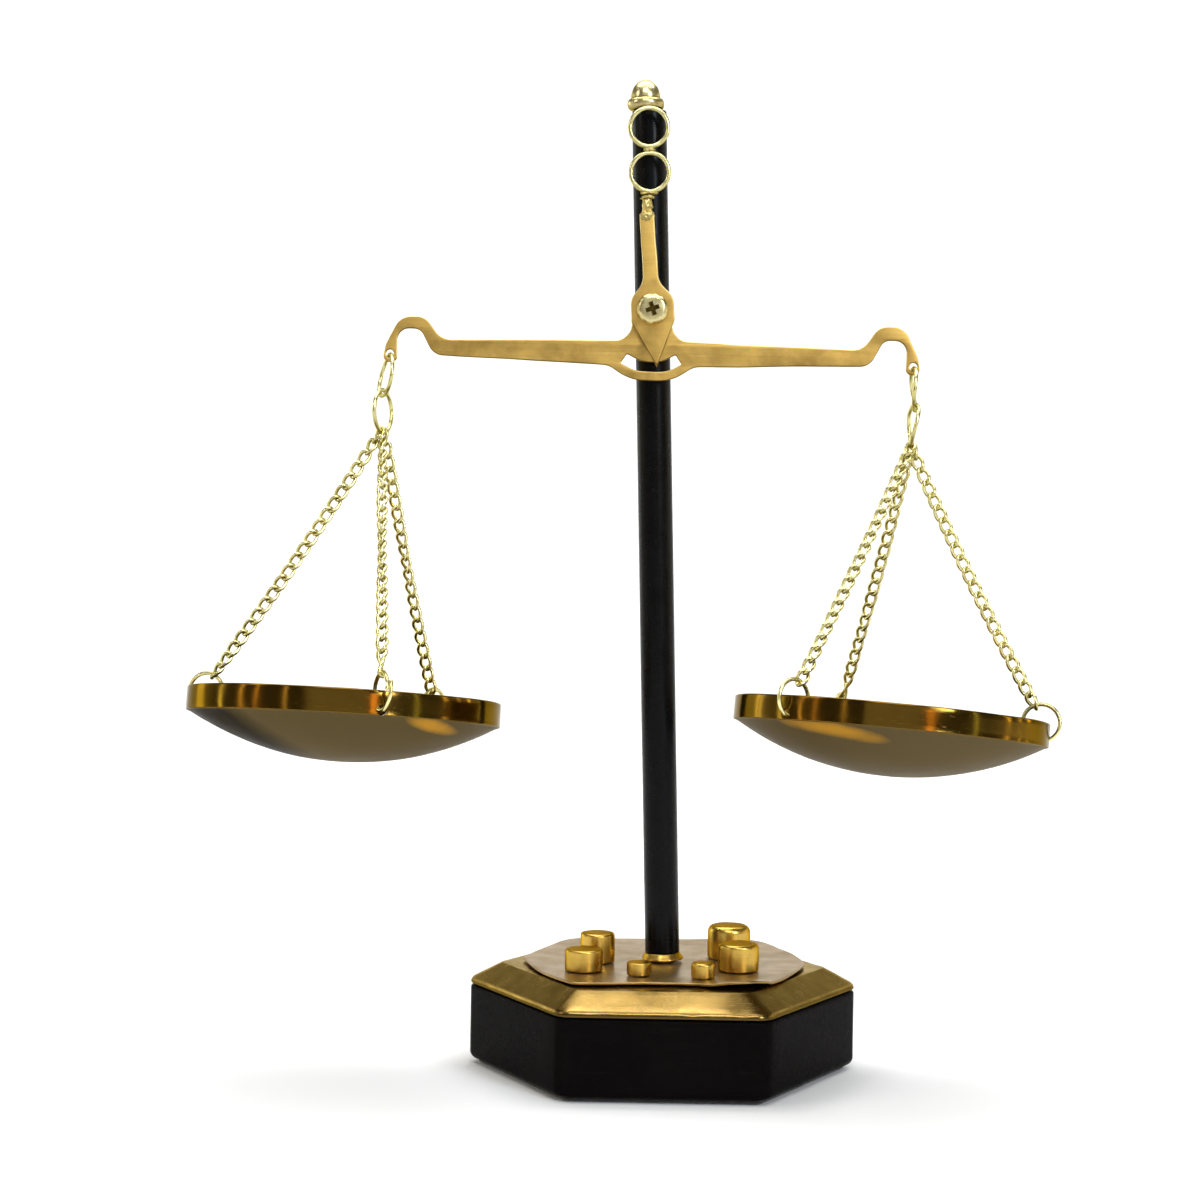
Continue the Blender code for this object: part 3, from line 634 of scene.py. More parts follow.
# Painted shade on the downward faces of the rings and chains.
CHAIN_BRASS = metal("chain_brass", "#f6eeb2", "#b5a95e", 0.17, patches=0.4, patch_scale=160.0, grain="cast",
                    edge="#c9c088", painted_shade=0.75)
# Painted shade on the solder's downward faces.
SOLDER = metal("solder", "#e6d58e", "#8f7835", 0.26, patches=0.6, patch_scale=300.0, grain="cast",
               grain_depth=0.9, edge="#b8a870", painted_shade=0.7)
# Each pan's underside: a dull film, a painted dark reflection towards -X and a painted bright reflection.
PAN_BRASS = {side: metal(f"{side}_pan_brass", "#795c22", "#523b14", 0.09, patch_scale=45.0, grain="spun",
                         grain_depth=0.22, scratch=0.5, scratch_colour="#b89a5a", rough_spread=0.08, ior=1.03,
                         edge="#cbc4b2", film_and_reflections=film_and_reflections)
             for side, film_and_reflections in (("left", ("#55492f", "#0f0e09", 1.0, 28 * MM, 6 * MM)),
                                ("right", ("#594d34", "#3a3222", 0.2, -20 * MM, 14 * MM)))}
STEEL = metal("steel", "#a7a6a2", "#6d6b66", 0.30, grain="cast")


# ---- pieces

def add(name, mesh, material, body, place=None, replaces=(), sharp=40.0):
    """Adds a piece: its place, its finish, the CAD body it rides on and the CAD nodes it stands for."""
    made = new_object(name, mesh)
    mesh.materials.clear()
    mesh.materials.append(material)
    mesh.shade_smooth()
    if sharp:
        mesh.set_sharp_from_angle(angle=radians(sharp))
    made.matrix_basis = place or Matrix.Identity(4)
    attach(made, body)
    if replaces:
        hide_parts(*replaces)


def look(node, mesh, material, body, place=None):
    """Adds the piece that stands for one CAD node."""
    add(f"{node}_look", mesh, material, body, place, [node])


def hexagon(corner_r, z, rounding, per_corner=8, per_side=10):
    """One level of a hexagon with rounded corners, as a loop of points."""
    apothem = corner_r * cos(radians(30))
    rounding = min(rounding, apothem)
    centre_r = (apothem - rounding) / cos(radians(30))
    bends = []
    for corner in range(0, 360, 60):
        centre = (centre_r * cos(radians(corner)), centre_r * sin(radians(corner)))
        bends.append(arc(centre, rounding, corner - 30, corner + 30, per_corner))
    loop = []
    for bend, following in zip(bends, bends[1:] + bends[:1]):
        (ax, ay), (bx, by) = bend[-1], following[0]
        shares = [k / per_side for k in range(1, per_side)]
        loop += bend + [(ax + (bx - ax) * share, ay + (by - ay) * share) for share in shares]
    return [(x, y, z) for x, y in loop]


def base():
    middle = 24.0
    section = [(middle, BLOCK_LOW)] + arc((BASE_CORNER_R - 2.4, BLOCK_LOW + 2.2), 2.2, -90, 0, 7)
    section += [(BASE_CORNER_R - 0.2, z) for z in (6.5, 10, 14, 18, 21)]
    section += arc((BASE_CORNER_R - 1.2, BLOCK_HIGH - 1.0), 1.0, 0, 90, 5) + [(middle, BLOCK_HIGH)]
    loops = [hexagon(r, z, BLOCK_ROUNDING) for r, z in section]
    block = loft("base_block", loops, lumps(0.10, 17.0, 3.0), closed=False)
    bores = [(lathe("bore", [(0, -2), (r, -2), (r, top), (0, top)], sides), shift())
             for r, top, sides in ((STUD_HOLE_R, 35, 32), (COUNTERBORE_R, COUNTERBORE_TOP, 48))]
    look("base_block", cut(block, bores), LACQUER, "stand")

    under = COVER_TOP - COVER_SHEET
    outline = divided(filleted([
        (STUD_HOLE_R, COVER_TOP, 0), (COVER_INNER_R, COVER_TOP, 1.1),
        (BASE_CORNER_R - 0.1, COVER_LIP_TOP - 0.3, 1.8), (BASE_CORNER_R - 0.2, COVER_LOW + 0.6, 0.5),
        (BASE_CORNER_R - 0.8, COVER_LOW, 0.2), (BASE_CORNER_R - 1.5, COVER_LOW + 0.1, 0.1),
        (BASE_CORNER_R - 1.0, COVER_LIP_TOP - 0.6, 0.4), (COVER_INNER_R - 0.4, under, 0.4),
        (STUD_HOLE_R, under, 0)], 10), 3.0)

    def rounding(r):
        """How far a level's corners are rounded: less further in, and all the way at the hole."""
        if r < 8:
            return 99.0
        return max(1.4, 5.6 - 0.25 * (BASE_CORNER_R - r)) if r > 40 else 3.0

    def pressed(x, y, z):
        """Waves on the top, and dents of knocks along the front edge."""
        wave = 0.07 * noise.noise(Vector((x, y, z)) / 9.0) + 0.05 * noise.noise(Vector((x, y, 0)) / 3.5)
        dent = sum(depth * max(0.0, 1 - abs(x - at) / half) for at, half, depth in COVER_DENTS)
        at_edge = max(0.0, 1 - abs(z - (COVER_LIP_TOP - 0.1)) / 0.9) if y < -46 else 0.0
        return (0.0, dent * at_edge * 0.5, wave * (z > COVER_LOW + 0.5) - dent * at_edge * 0.45)

    cover = loft("base_cover", [hexagon(r, z, rounding(r), 8, 26) for r, z in outline], pressed)
    look("base_cover", cover, COVER_BRASS, "stand")

    felt = [(8.0, 0.0)] + arc((BASE_CORNER_R - 3.9, 0.5), 0.5, -90, 90, 5) + [(8.0, 1.0)]
    pad = loft("felt_pad", [hexagon(r, z, 2.5) for r, z in felt], lumps(0.02, 3.0), closed=False)
    look("felt_pad", pad, FELT, "stand")


def top_plate():
    """The thin hand-cut plate, with a wavy edge that lifts off the cover and one curled lip."""
    outline = smooth_loop([
        (-40.9, -1), (-36, -19), (-27.9, -34.5), (-22.7, -37.4), (-5.8, -35.2), (8.2, -35.1), (14.7, -37.3),
        (23.6, -38.4), (29.8, -33.1), (35.6, -22.8), (40.7, -7.9), (41.9, 2.9), (37.5, 20), (28.7, 36.6),
        (6.6, 37.4), (-13.9, 36.8), (-27.8, 34.5), (-35.4, 19.6), (-41, 3.5)])
    hole = [(STUD_HOLE_R * cos(a), STUD_HOLE_R * sin(a)) for a in (atan2(y, x) for x, y in outline)]

    def level(share, z, inset=0.0):
        loop = []
        for (ox, oy), (hx, hy) in zip(outline, hole):
            size = hypot(ox, oy)
            ox, oy = ox * (size - inset) / size, oy * (size - inset) / size
            loop.append((hx + (ox - hx) * share, hy + (oy - hy) * share, z))
        return loop

    shares = [0.0, 0.15, 0.3, 0.45, 0.6, 0.75, 0.86, 0.93, 0.97]
    half = (PLATE_HIGH - PLATE_LOW) / 2
    middle = PLATE_LOW + half
    loops = [level(s, PLATE_HIGH) for s in shares] + [level(1.0, PLATE_HIGH, half)]
    loops += [level(1.0, middle + half * sin(radians(a)), half * (1 - cos(radians(a))))
              for a in (75, 50, 25, 0, -25, -50, -75)]
    loops += [level(1.0, PLATE_LOW, half)] + [level(s, PLATE_LOW) for s in reversed(shares)]

    def bent(x, y, z):
        out = min(1.0, max(0.0, (hypot(x, y) - 24) / 18)) ** 2
        around = atan2(y, x)
        curl = max(0.0, 1 - ((around + 1.02) / 0.22) ** 2) * 1.1
        lift = 0.25 + 0.3 * noise.noise(Vector((cos(around), sin(around), 0)) * 2.6)
        ripple = 0.06 * noise.noise(Vector((x, y, 0)) / 6.0)
        return (0.0, 0.0, out * (max(0.0, lift) + curl) + ripple * (out > 0))

    look("top_plate", loft("top_plate", loops, bent), PLATE_BRASS, "stand")


def post():
    bore_end = POST_LOW + 19
    section = [(0, bore_end), (3.3, bore_end), (3.3, POST_LOW), (POST_R - 0.3, POST_LOW)]
    section += [(POST_R, POST_LOW + 0.3)]
    section += [(POST_R, POST_LOW + (POST_TOP - POST_LOW) * i / 24) for i in range(1, 24)]
    section += arc((POST_R - 0.5, POST_TOP - 0.5), 0.5, 0, 90, 4)
    section += [(3.4, POST_TOP), (3.4, POST_TOP - 7), (0, POST_TOP - 7)]
    made = lathe("post", section, 72, lumps(0.04, 30.0, 5.0))
    look("post", made, POST_PAINT, "stand", POST_AXIS)

    low, high = 1.6, 3.5
    section = [(3.3, low + 0.2), (3.3, high + 0.2), (5.1, high + 0.2), (5.25, high), (5.55, high - 0.55)]
    section += [(6.0, low + 0.75)] + arc((5.75, low + 0.45), 0.42, 20, -90, 5)
    collar = lathe("foot_collar", section, 72, lumps(0.16, 2.2, 1.0))
    look("foot_collar", collar, WEIGHT_BRASS, "stand", POST_AXIS)

    bottom = POST_TOP + 0.3
    collar_top = bottom + 3.6
    section = [(0.0, collar_top + 5.4)]
    section += [(4.35 * cos(radians(a)), collar_top + 5.4 * sin(radians(a))) for a in range(84, -1, -6)]
    section += [(4.2, collar_top - 0.15), (4.35, collar_top - 0.35)]
    section += [(5.5 - 0.95 + 0.95 * cos(radians(a)), bottom + 1.75 + 1.55 * sin(radians(a)))
                for a in range(70, -71, -10)]
    section += [(4.3, bottom), (1.8, bottom), (1.8, bottom - 6), (0.0, bottom - 6)]
    cap = lathe("finial", section, 72, lumps(0.09, 4.5, 2.0))
    look("finial", cap, POLISHED_BRASS, "stand", POST_AXIS @ shift(x=-1.0))


def pivot_parts():
    place = PIVOT @ FACING_FRONT
    back = POST_R + 0.3
    section = [(2.1, 1.2), (4.0, 1.2), (4.2, 1.0), (4.2, 0.2), (4.0, 0.0), (2.1, 0.0)]
    spacer = lathe("pivot_spacer", [(r, back + z) for r, z in section], 48)
    look("pivot_spacer", spacer, STEEL, "stand", place)

    under = -HANGER_FRONT + 0.3
    top = under + 2.8
    section = [(0.0, top + 0.12), (1.2, top + 0.1), (2.2, top + 0.02)]
    section += arc((SCREW_HEAD_R - 1.7, top - 1.75), 1.7, 82, 6, 9)
    section += [(SCREW_HEAD_R, under + 0.5), (SCREW_HEAD_R - 0.15, under + 0.15), (4.15, under)]
    section += [(1.8, under), (1.8, 1.1), (0.0, 1.1)]

    def scalloped(x, y, z):
        """Five shallow bites in the head's edge."""
        around, out = atan2(y, x), hypot(x, y)
        share = max(0.0, (out - 3.4) / 1.2)
        bite = max(0.0, cos(5 * around + 0.7))
        dip = -0.22 * share * bite ** 3
        return (dip * cos(around), dip * sin(around), -0.05 * share * bite)

    screw = lathe("pivot_screw", section, 96, scalloped)
    arms = [(box_mesh(RECESS_WIDTH, RECESS_LENGTH, 3.4, (0, 0, top + 0.1), 0.6), turn(17 + side, "Z"))
            for side in (0, 90)]
    screw = cut(screw, arms)
    look("pivot_screw", screw, POLISHED_BRASS, "stand", place)
    # The cross recess gets the dark brass as painted shade.
    screw.materials.append(RECESS_SHADE_BRASS)
    for face in screw.polygons:
        x, y, z = face.center / MM
        in_recess = hypot(x, y) < RECESS_LENGTH / 2 + 0.1 and top - 2.2 < z < top - 0.22
        face.material_index = int(in_recess)


def hanger():
    half = 2.25
    right = [
        (0.95, HANGER_TOP, 0.4), (1.2, HANGER_TOP - 4.3, 0.8), (half - 0.1, HANGER_TOP - 5.4, 0.5),
        (half - 0.1, 8.0, 6.0), (6.3, 3.4, 5.0), (6.3, -3.2, 3.2)]
    left = [(-x, z, r) for x, z, r in reversed(right)]
    outline = divided(filleted(right + [(0.0, -17.2, 0.35)] + left, 5.0), 1.5)
    depth = HANGER_BACK - HANGER_FRONT
    mesh = flat_piece("hanger", [outline, circle(0, 0, 2.1)], depth, 0.42)
    for vertex in mesh.vertices:
        share = max(0.0, (vertex.co.z / MM - FORK_SLOT_TOP) / (HANGER_TOP - FORK_SLOT_TOP))
        slim = 1.0 - share * (1.0 - STRAP_THICKNESS / depth)
        vertex.co.y = (vertex.co.y - depth / 2 * MM) * slim + HANGER_BACK * MM
        vertex.co.x += 0.12 * MM * noise.noise(vertex.co * 180)
    slot_bottom = -22
    height, middle = FORK_SLOT_TOP - slot_bottom, (FORK_SLOT_TOP + slot_bottom) / 2
    slot = box_mesh(40, BEAM_THICKNESS + 0.6, height, (0, BEAM_Y, middle))
    look("hanger", cut(mesh, [(slot, shift())]), SATIN_BRASS, "stand", HANGER)


def blob(name, size, amount, seed):
    """A lump of solder: a roughened ball stretched to size."""
    bm = bmesh.new()
    bmesh.ops.create_icosphere(bm, subdivisions=4, radius=1.0)
    for vertex in bm.verts:
        rough = noise.fractal(vertex.co * 2.2 + Vector((seed, 0, 0)), 0.7, 2.0, 4)
        vertex.co *= 1 + amount * rough
    bm.transform(Matrix.Diagonal(Vector((*size, 1000.0)) * MM))
    mesh = bpy.data.meshes.new(name)
    bm.to_mesh(mesh)
    bm.free()
    return mesh


def ring_points(radius, turns=(0.0, 0.0), start=0.0, end=360.0, steps=72, drift=0.0):
    """A ring in the YZ plane with its top at the origin and its plane turned evenly from top to bottom.

    drift moves the wire sideways along its run, so that the ends of a split ring pass each other.
    """
    points = []
    for i in range(steps):
        share = i / (steps if end - start == 360 else steps - 1)
        a = radians(start + (end - start) * share)
        y, z = radius * sin(a), radius * cos(a)
        twist = radians(turns[0] + (turns[1] - turns[0]) * (1 - cos(a)) / 2)
        x = drift * (share - 0.5)
        points.append((x * cos(twist) - y * sin(twist), x * sin(twist) + y * cos(twist), z - radius))
    return points


def top_rings():
    for name, up, seed in (("top_ring_upper", UPPER_TOP_RING_UP, 1.0),
                           ("top_ring_lower", LOWER_TOP_RING_UP, 4.0)):
        place = PIVOT @ shift(TOP_RINGS_X, TOP_RINGS_Y, up + TOP_RING_R) @ turn(90, "Z")
        points = ring_points(TOP_RING_R, steps=96)
        mesh = wire(name, points, TOP_RING_WIRE, across=16, warp=lumps(0.05, 2.6, seed))
        look(name, mesh, CHAIN_BRASS, "stand", place)
    solder = (
        ("solder_between", PIVOT, (1.5, 0.75, 0.95), (TOP_RINGS_X, TOP_RINGS_Y, 46.85), 0.32, 1.0),
        ("solder_top", PIVOT, (0.7, 0.6, 0.6), (TOP_RINGS_X + 0.8, TOP_RINGS_Y, 58.9), 0.35, 15.0),
        ("solder_saddle", PIVOT, (2.4, 1.0, 0.75), (TOP_RINGS_X - 0.4, TOP_RINGS_Y, 34.3), 0.30, 7.0),
        ("solder_ridge", HANGER, (1.8, 1.3, 0.7), (0.5, TOP_RINGS_Y - 0.5, 32.9), 0.34, 9.0),
        ("solder_waist", HANGER, (1.45, 1.5, 2.3), (0.3, TOP_RINGS_Y - 0.5, 30.6), 0.30, 12.0),
        ("solder_shoulder", HANGER, (2.1, 1.5, 1.9), (0.0, TOP_RINGS_Y - 0.9, 27.3), 0.24, 19.0),
    )
    for name, place, size, at, amount, seed in solder:
        add(name, blob(name, size, amount, seed), SOLDER, "stand", place @ shift(*at), sharp=0)


def beam():
    def half(hook_top):
        return [
            (5.6, 5.6, 5.2), (6.0, -8.9, 5.0), (61.4, -10.1, 6.0), (66.2, hook_top, 4.6), (73.4, hook_top, 5.4),
            (77.6, -12.0, 4.0), (EYE_X + 2.2, -17.0, 1.8), (EYE_X - 2.2, -17.0, 1.8), (EYE_X - 2.0, -7.1, 3.4),
            (67.6, -7.1, 3.2), (63.6, -14.7, 4.6), (12.4, -16.3, 6.0), (6.0, -20.6, 14.0)]
    left = [(-x, z, r) for x, z, r in reversed(half(-3.5))]
    window = filleted([
        (-7.1, -12.9, 0.4), (-2.6, -15.2, 7.0), (2.6, -15.2, 7.0), (7.1, -12.9, 0.4),
        (8.9, -15.6, 0.4), (4.6, -17.9, 10.0), (-4.6, -17.9, 10.0), (-8.9, -15.6, 0.4)], 8)
    outline = divided(filleted(half(-3.0) + left, 5.0), 2.0)
    loops = [outline, window, circle(0, 0, 2.3), circle(EYE_X, EYE_Z, 1.2, 32), circle(-EYE_X, EYE_Z, 1.2, 32)]
    mesh = flat_piece("beam", loops, BEAM_THICKNESS, 0.32)
    for vertex in mesh.vertices:
        vertex.co.z += 0.18 * MM * noise.noise(Vector((vertex.co.x * 60, 0.0, vertex.co.z * 60)))
        vertex.co.y += 0.2 * MM * noise.noise(Vector((vertex.co.x * 25, 3.0, 0.0)))
    look("beam", mesh, SATIN_BRASS, "beam", BEAM_PIVOT)


# ---- hanging pieces

def pan(side, place):
    """The spun pan: a shallow dish with an upright band, three ring holes and a rolled lower edge."""
    dome = PAN_DEPTH - PAN_BAND
    edge = PAN_R - 0.7
    sphere = (edge ** 2 + dome ** 2) / (2 * dome)
    steps = 22

    def bowl(offset, rim):
        radii = [rim * i / steps for i in range(steps + 1)]
        return [(r, -PAN_DEPTH + sphere - sqrt((sphere - offset) ** 2 - r ** 2)) for r in radii]

    inner = PAN_R - PAN_SHEET
    wall = [(inner, -5.6), (inner, -3.5), (inner, -1.5)]
    lip = arc((PAN_R - 0.4, -0.4), 0.4, 180, 0, 8)
    outer = [(PAN_R, -1.8), (PAN_R, -3.4), (PAN_R, -5.2)]
    roll = arc((PAN_R - 0.3, -6.6), 0.3, 15, -72, 6)
    section = bowl(PAN_SHEET, inner - 0.9) + wall + lip + outer + roll + bowl(0.0, edge - 0.6)[::-1]
    seed = 2.0 if side == "left" else 9.0

    def hammered(x, y, z):
        out = min(1.0, hypot(x, y) / 20)
        swell = 0.16 * noise.noise(Vector((x, y, 0)) / 22 + Vector((seed, 0, 0)))
        ripple = 0.035 * noise.noise(Vector((x, y, z)) / 5 + Vector((0, seed, 0)))
        around = atan2(y, x)
        rim = 0.10 * noise.noise(Vector((cos(around), sin(around), seed)) * 3.5) if z > -PAN_BAND else 0.0
        outwards = rim + ripple
        return (outwards * cos(around), outwards * sin(around), swell * out)

    mesh = lathe(f"{side}_pan", section, 192, hammered)
    drill = lathe("drill", [(0, -2), (PAN_HOLE_R, -2), (PAN_HOLE_R, 2), (0, 2)], 32)
    drills = []
    for angle, drop, inward, twist in SIDES[side]["pan_rings"]:
        drills.append((drill, turn(angle, "Z") @ shift(x=PAN_R - PAN_SHEET / 2, z=-drop) @ turn(90, "Y")))
    mesh = cut(mesh, drills)
    look(f"{side}_pan", mesh, PAN_BRASS[side], f"{side}_pan_assembly", place)


def link_rings(side, upper, lower):
    spec = SIDES[side]
    for which, place in (("upper", upper), ("lower", lower)):
        points = ring_points(LINK_RING_R, spec[f"{which}_turns"], steps=88)
        mesh = wire(f"{side}_{which}_ring", points, LINK_RING_WIRE, across=16, warp=lumps(0.04, 2.0, 3.0))
        look(f"{side}_{which}_ring", mesh, CHAIN_BRASS, f"{side}_{which}_link", place)


def nearest_half_turn(angle, target):
    """The angle, changed by whole half turns to lie as near as it can to a target."""
    return angle + pi * round((target - angle) / pi)


def chain_links(top, bottom, top_wire, bottom_wire, top_r, bottom_r, sag, rolls):
    """Vertices and faces of a curb chain hung from the wire of one ring to the wire of another.

    Each link is an oval twisted about its length, so that it crosses the next at a right angle and the
    chain still lies flat. The chain turns slowly on its way, to fit both ends to their rings.
    """
    length = (bottom - top).length
    count = round(length / CHAIN_PITCH)
    overlap = 2 * CHAIN_WIRE
    half = (length + top_r + bottom_r + overlap + (count - 1) * overlap) / (2 * count)
    along = (bottom - top) / length
    across = (top_wire - along * top_wire.dot(along)).normalized().cross(along).normalized()
    over = along.cross(across)

    def roll_of(wire_direction):
        want = wire_direction.cross(along)
        return atan2(want.dot(over), want.dot(across))

    flat = roll_of(Vector((0, 1, 0)))
    keys = [(0.0, roll_of(top_wire) + radians(CHAIN_TWIST))]
    for share, degrees in rolls:
        keys.append((share, nearest_half_turn(flat + radians(degrees), keys[-1][1])))
    keys.append((1.0, nearest_half_turn(roll_of(bottom_wire) - radians(CHAIN_TWIST), keys[-1][1])))

    def roll_at(share):
        for (low, a), (high, b) in zip(keys, keys[1:]):
            if share <= high:
                part = (share - low) / (high - low)
                return a + (b - a) * part * part * (3 - 2 * part)
        return keys[-1][1]

    down = Vector((0, 0, -1))
    down = (down - along * down.dot(along)).normalized()
    vertices, faces = [], []
    for i in range(count):
        middle = -(top_r + CHAIN_WIRE) + half + i * (2 * half - overlap)
        share = min(1.0, max(0.0, middle / length))
        roll = roll_at(share)
        centre = top + along * middle + down * (4 * sag * share * (1 - share))
        direction = (along * length + down * (4 * sag * (1 - 2 * share))).normalized()
        u0 = (across - direction * across.dot(direction)).normalized()
        v0 = direction.cross(u0)
        loop = []
        for k in range(CHAIN_STEPS):
            a = 2 * pi * k / CHAIN_STEPS
            fullness = 1 / (abs(cos(a)) ** OVAL_POWER + abs(sin(a)) ** OVAL_POWER) ** (1 / OVAL_POWER)
            x, y = half * cos(a) * fullness, CHAIN_HALF_WIDTH * sin(a) * fullness
            twist = roll + radians(CHAIN_TWIST) * (x / half)
            side = u0 * cos(twist) + v0 * sin(twist)
            loop.append(centre + direction * x + side * y)
        more, more_faces = tube(loop, CHAIN_WIRE, True, 10, len(vertices))
        vertices += more
        faces += more_faces
    return vertices, faces


def chains_and_pan_rings(side, lower, swivel, pan_place):
    spec = SIDES[side]
    to_swivel = swivel.inverted()
    ring_bottom = lower @ turn(spec["lower_turns"][1], "Z")
    apex_wire = (ring_bottom.to_3x3() @ Vector((0, 1, 0))).normalized()
    apex = swivel.translation / MM
    body = f"{side}_pan_assembly"
    for letter, ring, (offset, sag, rolls) in zip("abc", spec["pan_rings"], spec["chains"]):
        angle, drop, inward, twist = ring
        rise = pan_place @ turn(angle, "Z") @ shift(x=PAN_R - PAN_SHEET / 2, z=-drop) @ turn(-inward, "Y")
        hang = rise @ turn(180, "X") @ turn(90 + twist, "Z")
        split = SPLIT_B if letter == "b" else SPLIT_A_C
        points = ring_points(PAN_RING_R, start=split, end=split + SPLIT_RUN, steps=92, drift=1.25)
        points, radii = blunt(points, PAN_RING_WIRE)
        mesh = wire(f"{side}_pan_ring_{letter}", points, radii, closed=False)
        look(f"{side}_pan_ring_{letter}", mesh, CHAIN_BRASS, body, hang)

        ring_top = hang @ Vector((0, 0, -2 * PAN_RING_R * MM)) / MM
        ring_wire = (hang.to_3x3() @ Vector((0, 1, 0))).normalized()
        rise_along_ring = offset ** 2 / (2 * LINK_RING_R)
        top = apex + apex_wire * offset + Vector((0, 0, rise_along_ring))
        vertices, faces = chain_links(
            top, ring_top, apex_wire, ring_wire, LINK_RING_WIRE, PAN_RING_WIRE, sag, rolls)
        vertices = [to_swivel @ (Vector(v) * MM) / MM for v in vertices]
        mesh = mesh_from(f"{side}_chain_{letter}", vertices, faces)
        look(f"{side}_chain_{letter}", mesh, CHAIN_BRASS, body, swivel)


# ---- weights

def weights():
    for i, (name, (x, y, radius, height, rounding)) in enumerate(WEIGHTS.items()):
        section = [(0.0, height + 0.05), (radius * 0.4, height + 0.04)]
        section += arc((radius - rounding, height - rounding), rounding, 90, 0, 9)
        section += [(radius + 0.03, height * 0.5), (radius, 0.7)]
        section += arc((radius - 0.3, 0.3), 0.3, 0, -90, 4) + [(0.0, 0.0)]
        mesh = lathe(name, section, 96, lumps(0.09, 5.0, 4.0 + i))
        for vertex in mesh.vertices:
            vertex.co.z = max(0.0, vertex.co.z)
        look(name, mesh, WEIGHT_BRASS, f"{name}_body", shift(x, y, DECK))


# ---- studio

# Tall lamps that streak the pans' bands: degrees round from the front, width, power, colour
STRIPES = (
    (-118, 0.30, 1.6, (1.0, 1.0, 0.88)), (-92, 0.10, 0.8, (0.95, 1.0, 0.55)),
    (-72, 0.035, 0.5, (1.0, 0.75, 0.35)), (-61, 0.03, 0.3, (1.0, 0.62, 0.25)),
    (-38, 0.05, 0.25, (1.0, 0.80, 0.45)), (58, 0.05, 0.3, (0.85, 1.0, 0.5)),
    (84, 0.05, 0.8, (1.0, 0.80, 0.40)), (97, 0.03, 0.6, (1.0, 0.88, 0.55)), (108, 0.06, 1.0, (1.0, 0.85, 0.5)))
CAMERA_PLACE = (-7.91, -681.92, 154.73)
CAMERA_YAW, CAMERA_PITCH, CAMERA_ROLL = -0.0179, -0.0243, 0.0142
LENS, SENSOR = 69.0, 36.0


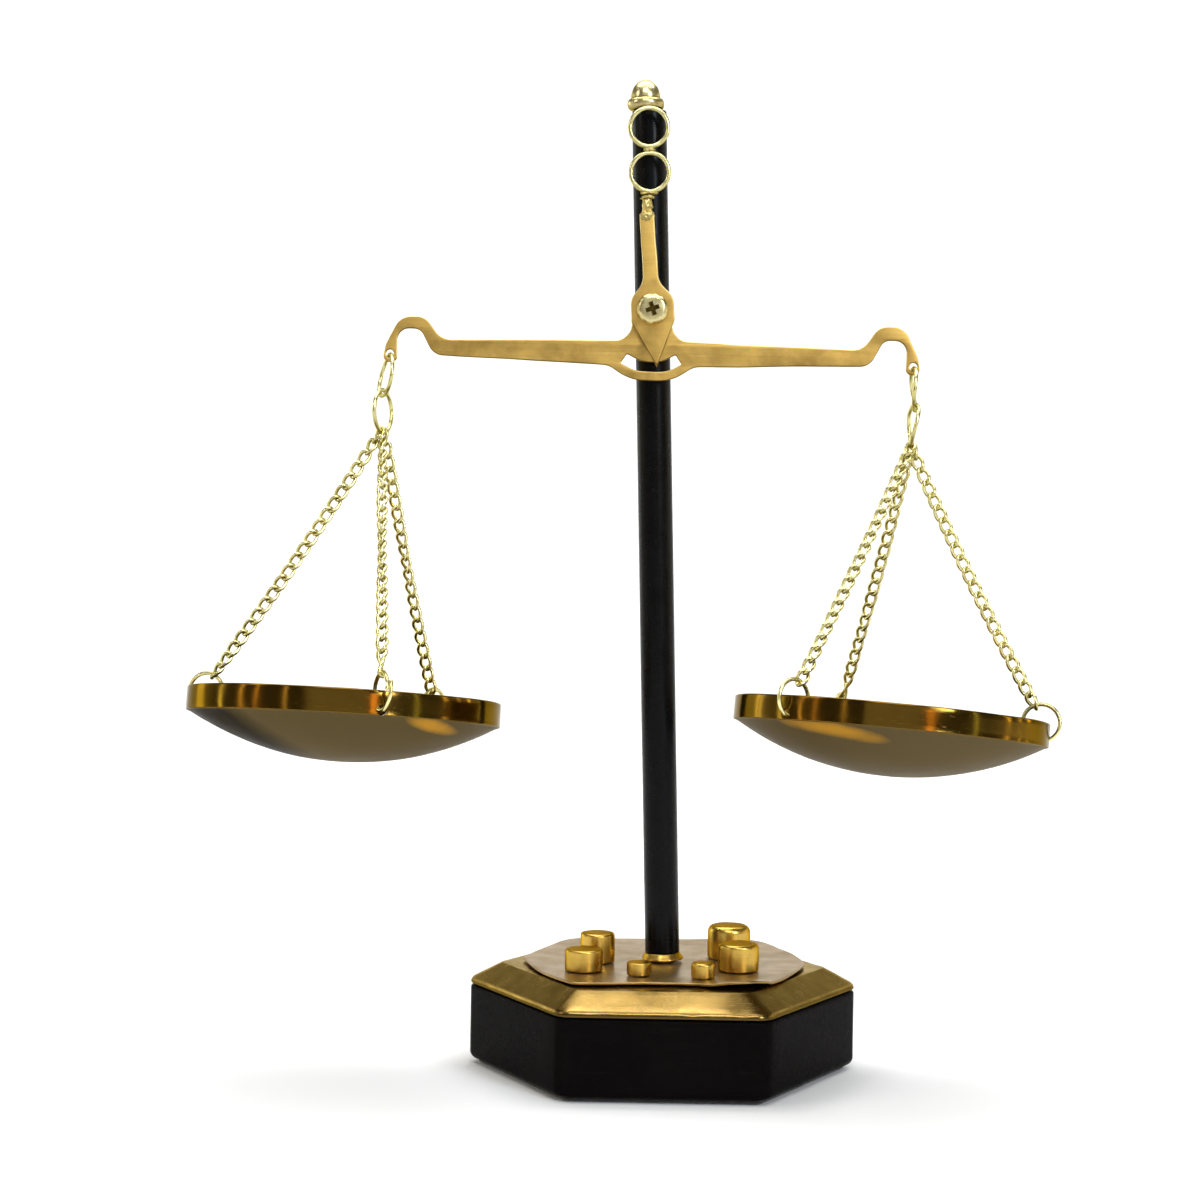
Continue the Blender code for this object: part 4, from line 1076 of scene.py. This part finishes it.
def studio():
    """A pale floor that curves up into a wall all round, soft boxes and the camera."""
    steps = 128
    section = [(500.0, 0.0), (1400.0, 0.0)] + arc((1400.0, 900.0), 900.0, -90, 0, 24)[1:] + [(2300.0, 2600.0)]
    rows = rows_of(len(section), steps, 1)
    vertices = [(0.0, 0.0, 0.0)] + [(x, y, z) for r, z in section for x, y in circle(0, 0, r, steps)]
    faces = [(0, 1 + k, 1 + (k + 1) % steps) for k in range(steps)]
    faces += [(a, d, c, b) for a, b, c, d in skin(rows, closed=False)]
    mesh = bpy.data.meshes.new("backdrop")
    mesh.from_pydata([Vector(v) * MM for v in vertices], [], faces)
    mesh.materials.append(backdrop_material())
    mesh.shade_smooth()
    backdrop = new_object("backdrop", mesh)
    backdrop.location.z = -0.2 * MM

    def soft_box(name, at, towards, width, height, power, colour=(1.0, 1.0, 1.0)):
        data = bpy.data.lights.new(name, "AREA")
        data.shape = "RECTANGLE"
        data.size, data.size_y = width, height
        data.energy = power
        data.color = colour
        made = new_object(name, data)
        made.location = at
        made.rotation_euler = (Vector(towards) - Vector(at)).to_track_quat("-Z", "Y").to_euler()
        made.visible_camera = False

    soft_box("overhead", (0.0, 0.25, 1.4), (0.0, 0.1, 0.0), 1.8, 1.7, 18)
    soft_box("wall_wash", (0.0, 0.3, 1.7), (0.0, 2.3, 0.35), 2.6, 0.6, 34)
    soft_box("front_key", (0.0, -1.25, 1.35), (0.0, 0.0, 0.2), 0.9, 0.5, 9)
    soft_box("front_glow", (0.0, -1.95, 0.45), (0.0, 0.0, 0.2), 1.6, 0.8, 1.9)
    soft_box("key_left", (-1.4, -0.6, 0.95), (0.0, 0.0, 0.1), 0.40, 0.5, 3.0, (1.0, 0.97, 0.92))
    soft_box("window_cool", (0.95, -1.35, 0.80), (0.0, 0.0, 0.2), 0.32, 0.72, 13.0, (0.78, 0.86, 1.0))
    soft_box("patch_orange", (0.68, -1.45, 0.36), (0.0, 0.0, 0.15), 0.13, 0.22, 0.45, (1.0, 0.50, 0.14))
    for angle, width, power, colour in STRIPES:
        at = (1.6 * sin(radians(angle)), -1.6 * cos(radians(angle)), 0.38)
        soft_box(f"stripe_{angle + 180}", at, (0.0, 0.0, 0.15), width, 0.62, power, colour)

    world = bpy.data.worlds.new("studio")
    world.use_nodes = True
    sky = world.node_tree.nodes["Background"].inputs
    sky["Color"].default_value = (0.80, 0.86, 1.0, 1.0)
    sky["Strength"].default_value = 0.10
    bpy.context.scene.world = world

    yaw, pitch, roll = CAMERA_YAW, CAMERA_PITCH, CAMERA_ROLL
    ahead = Vector((sin(yaw) * cos(pitch), cos(yaw) * cos(pitch), sin(pitch)))
    right = Vector((cos(yaw), -sin(yaw), 0.0))
    up = right.cross(ahead)
    x_axis = right * cos(roll) + up * sin(roll)
    y_axis = up * cos(roll) - right * sin(roll)
    data = bpy.data.cameras.new("camera")
    data.lens, data.sensor_width, data.clip_start = LENS, SENSOR, 0.01
    camera = new_object("camera", data)
    turned_to = Matrix((x_axis, y_axis, -ahead)).transposed().to_4x4()
    camera.matrix_world = shift(*CAMERA_PLACE) @ turned_to
    bpy.context.scene.camera = camera
    bpy.context.scene.view_settings.view_transform = "Standard"


def build():
    base()
    top_plate()
    post()
    pivot_parts()
    hanger()
    top_rings()
    beam()
    for side in SIDES:
        upper, lower, swivel, pan_place = swings(side)
        link_rings(side, upper, lower)
        pan(side, pan_place)
        chains_and_pan_rings(side, lower, swivel, pan_place)
    weights()
    for name in ("post_stud", "stud_washer", "stud_nut"):
        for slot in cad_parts[name].material_slots:
            slot.material = STEEL
    studio()


build()
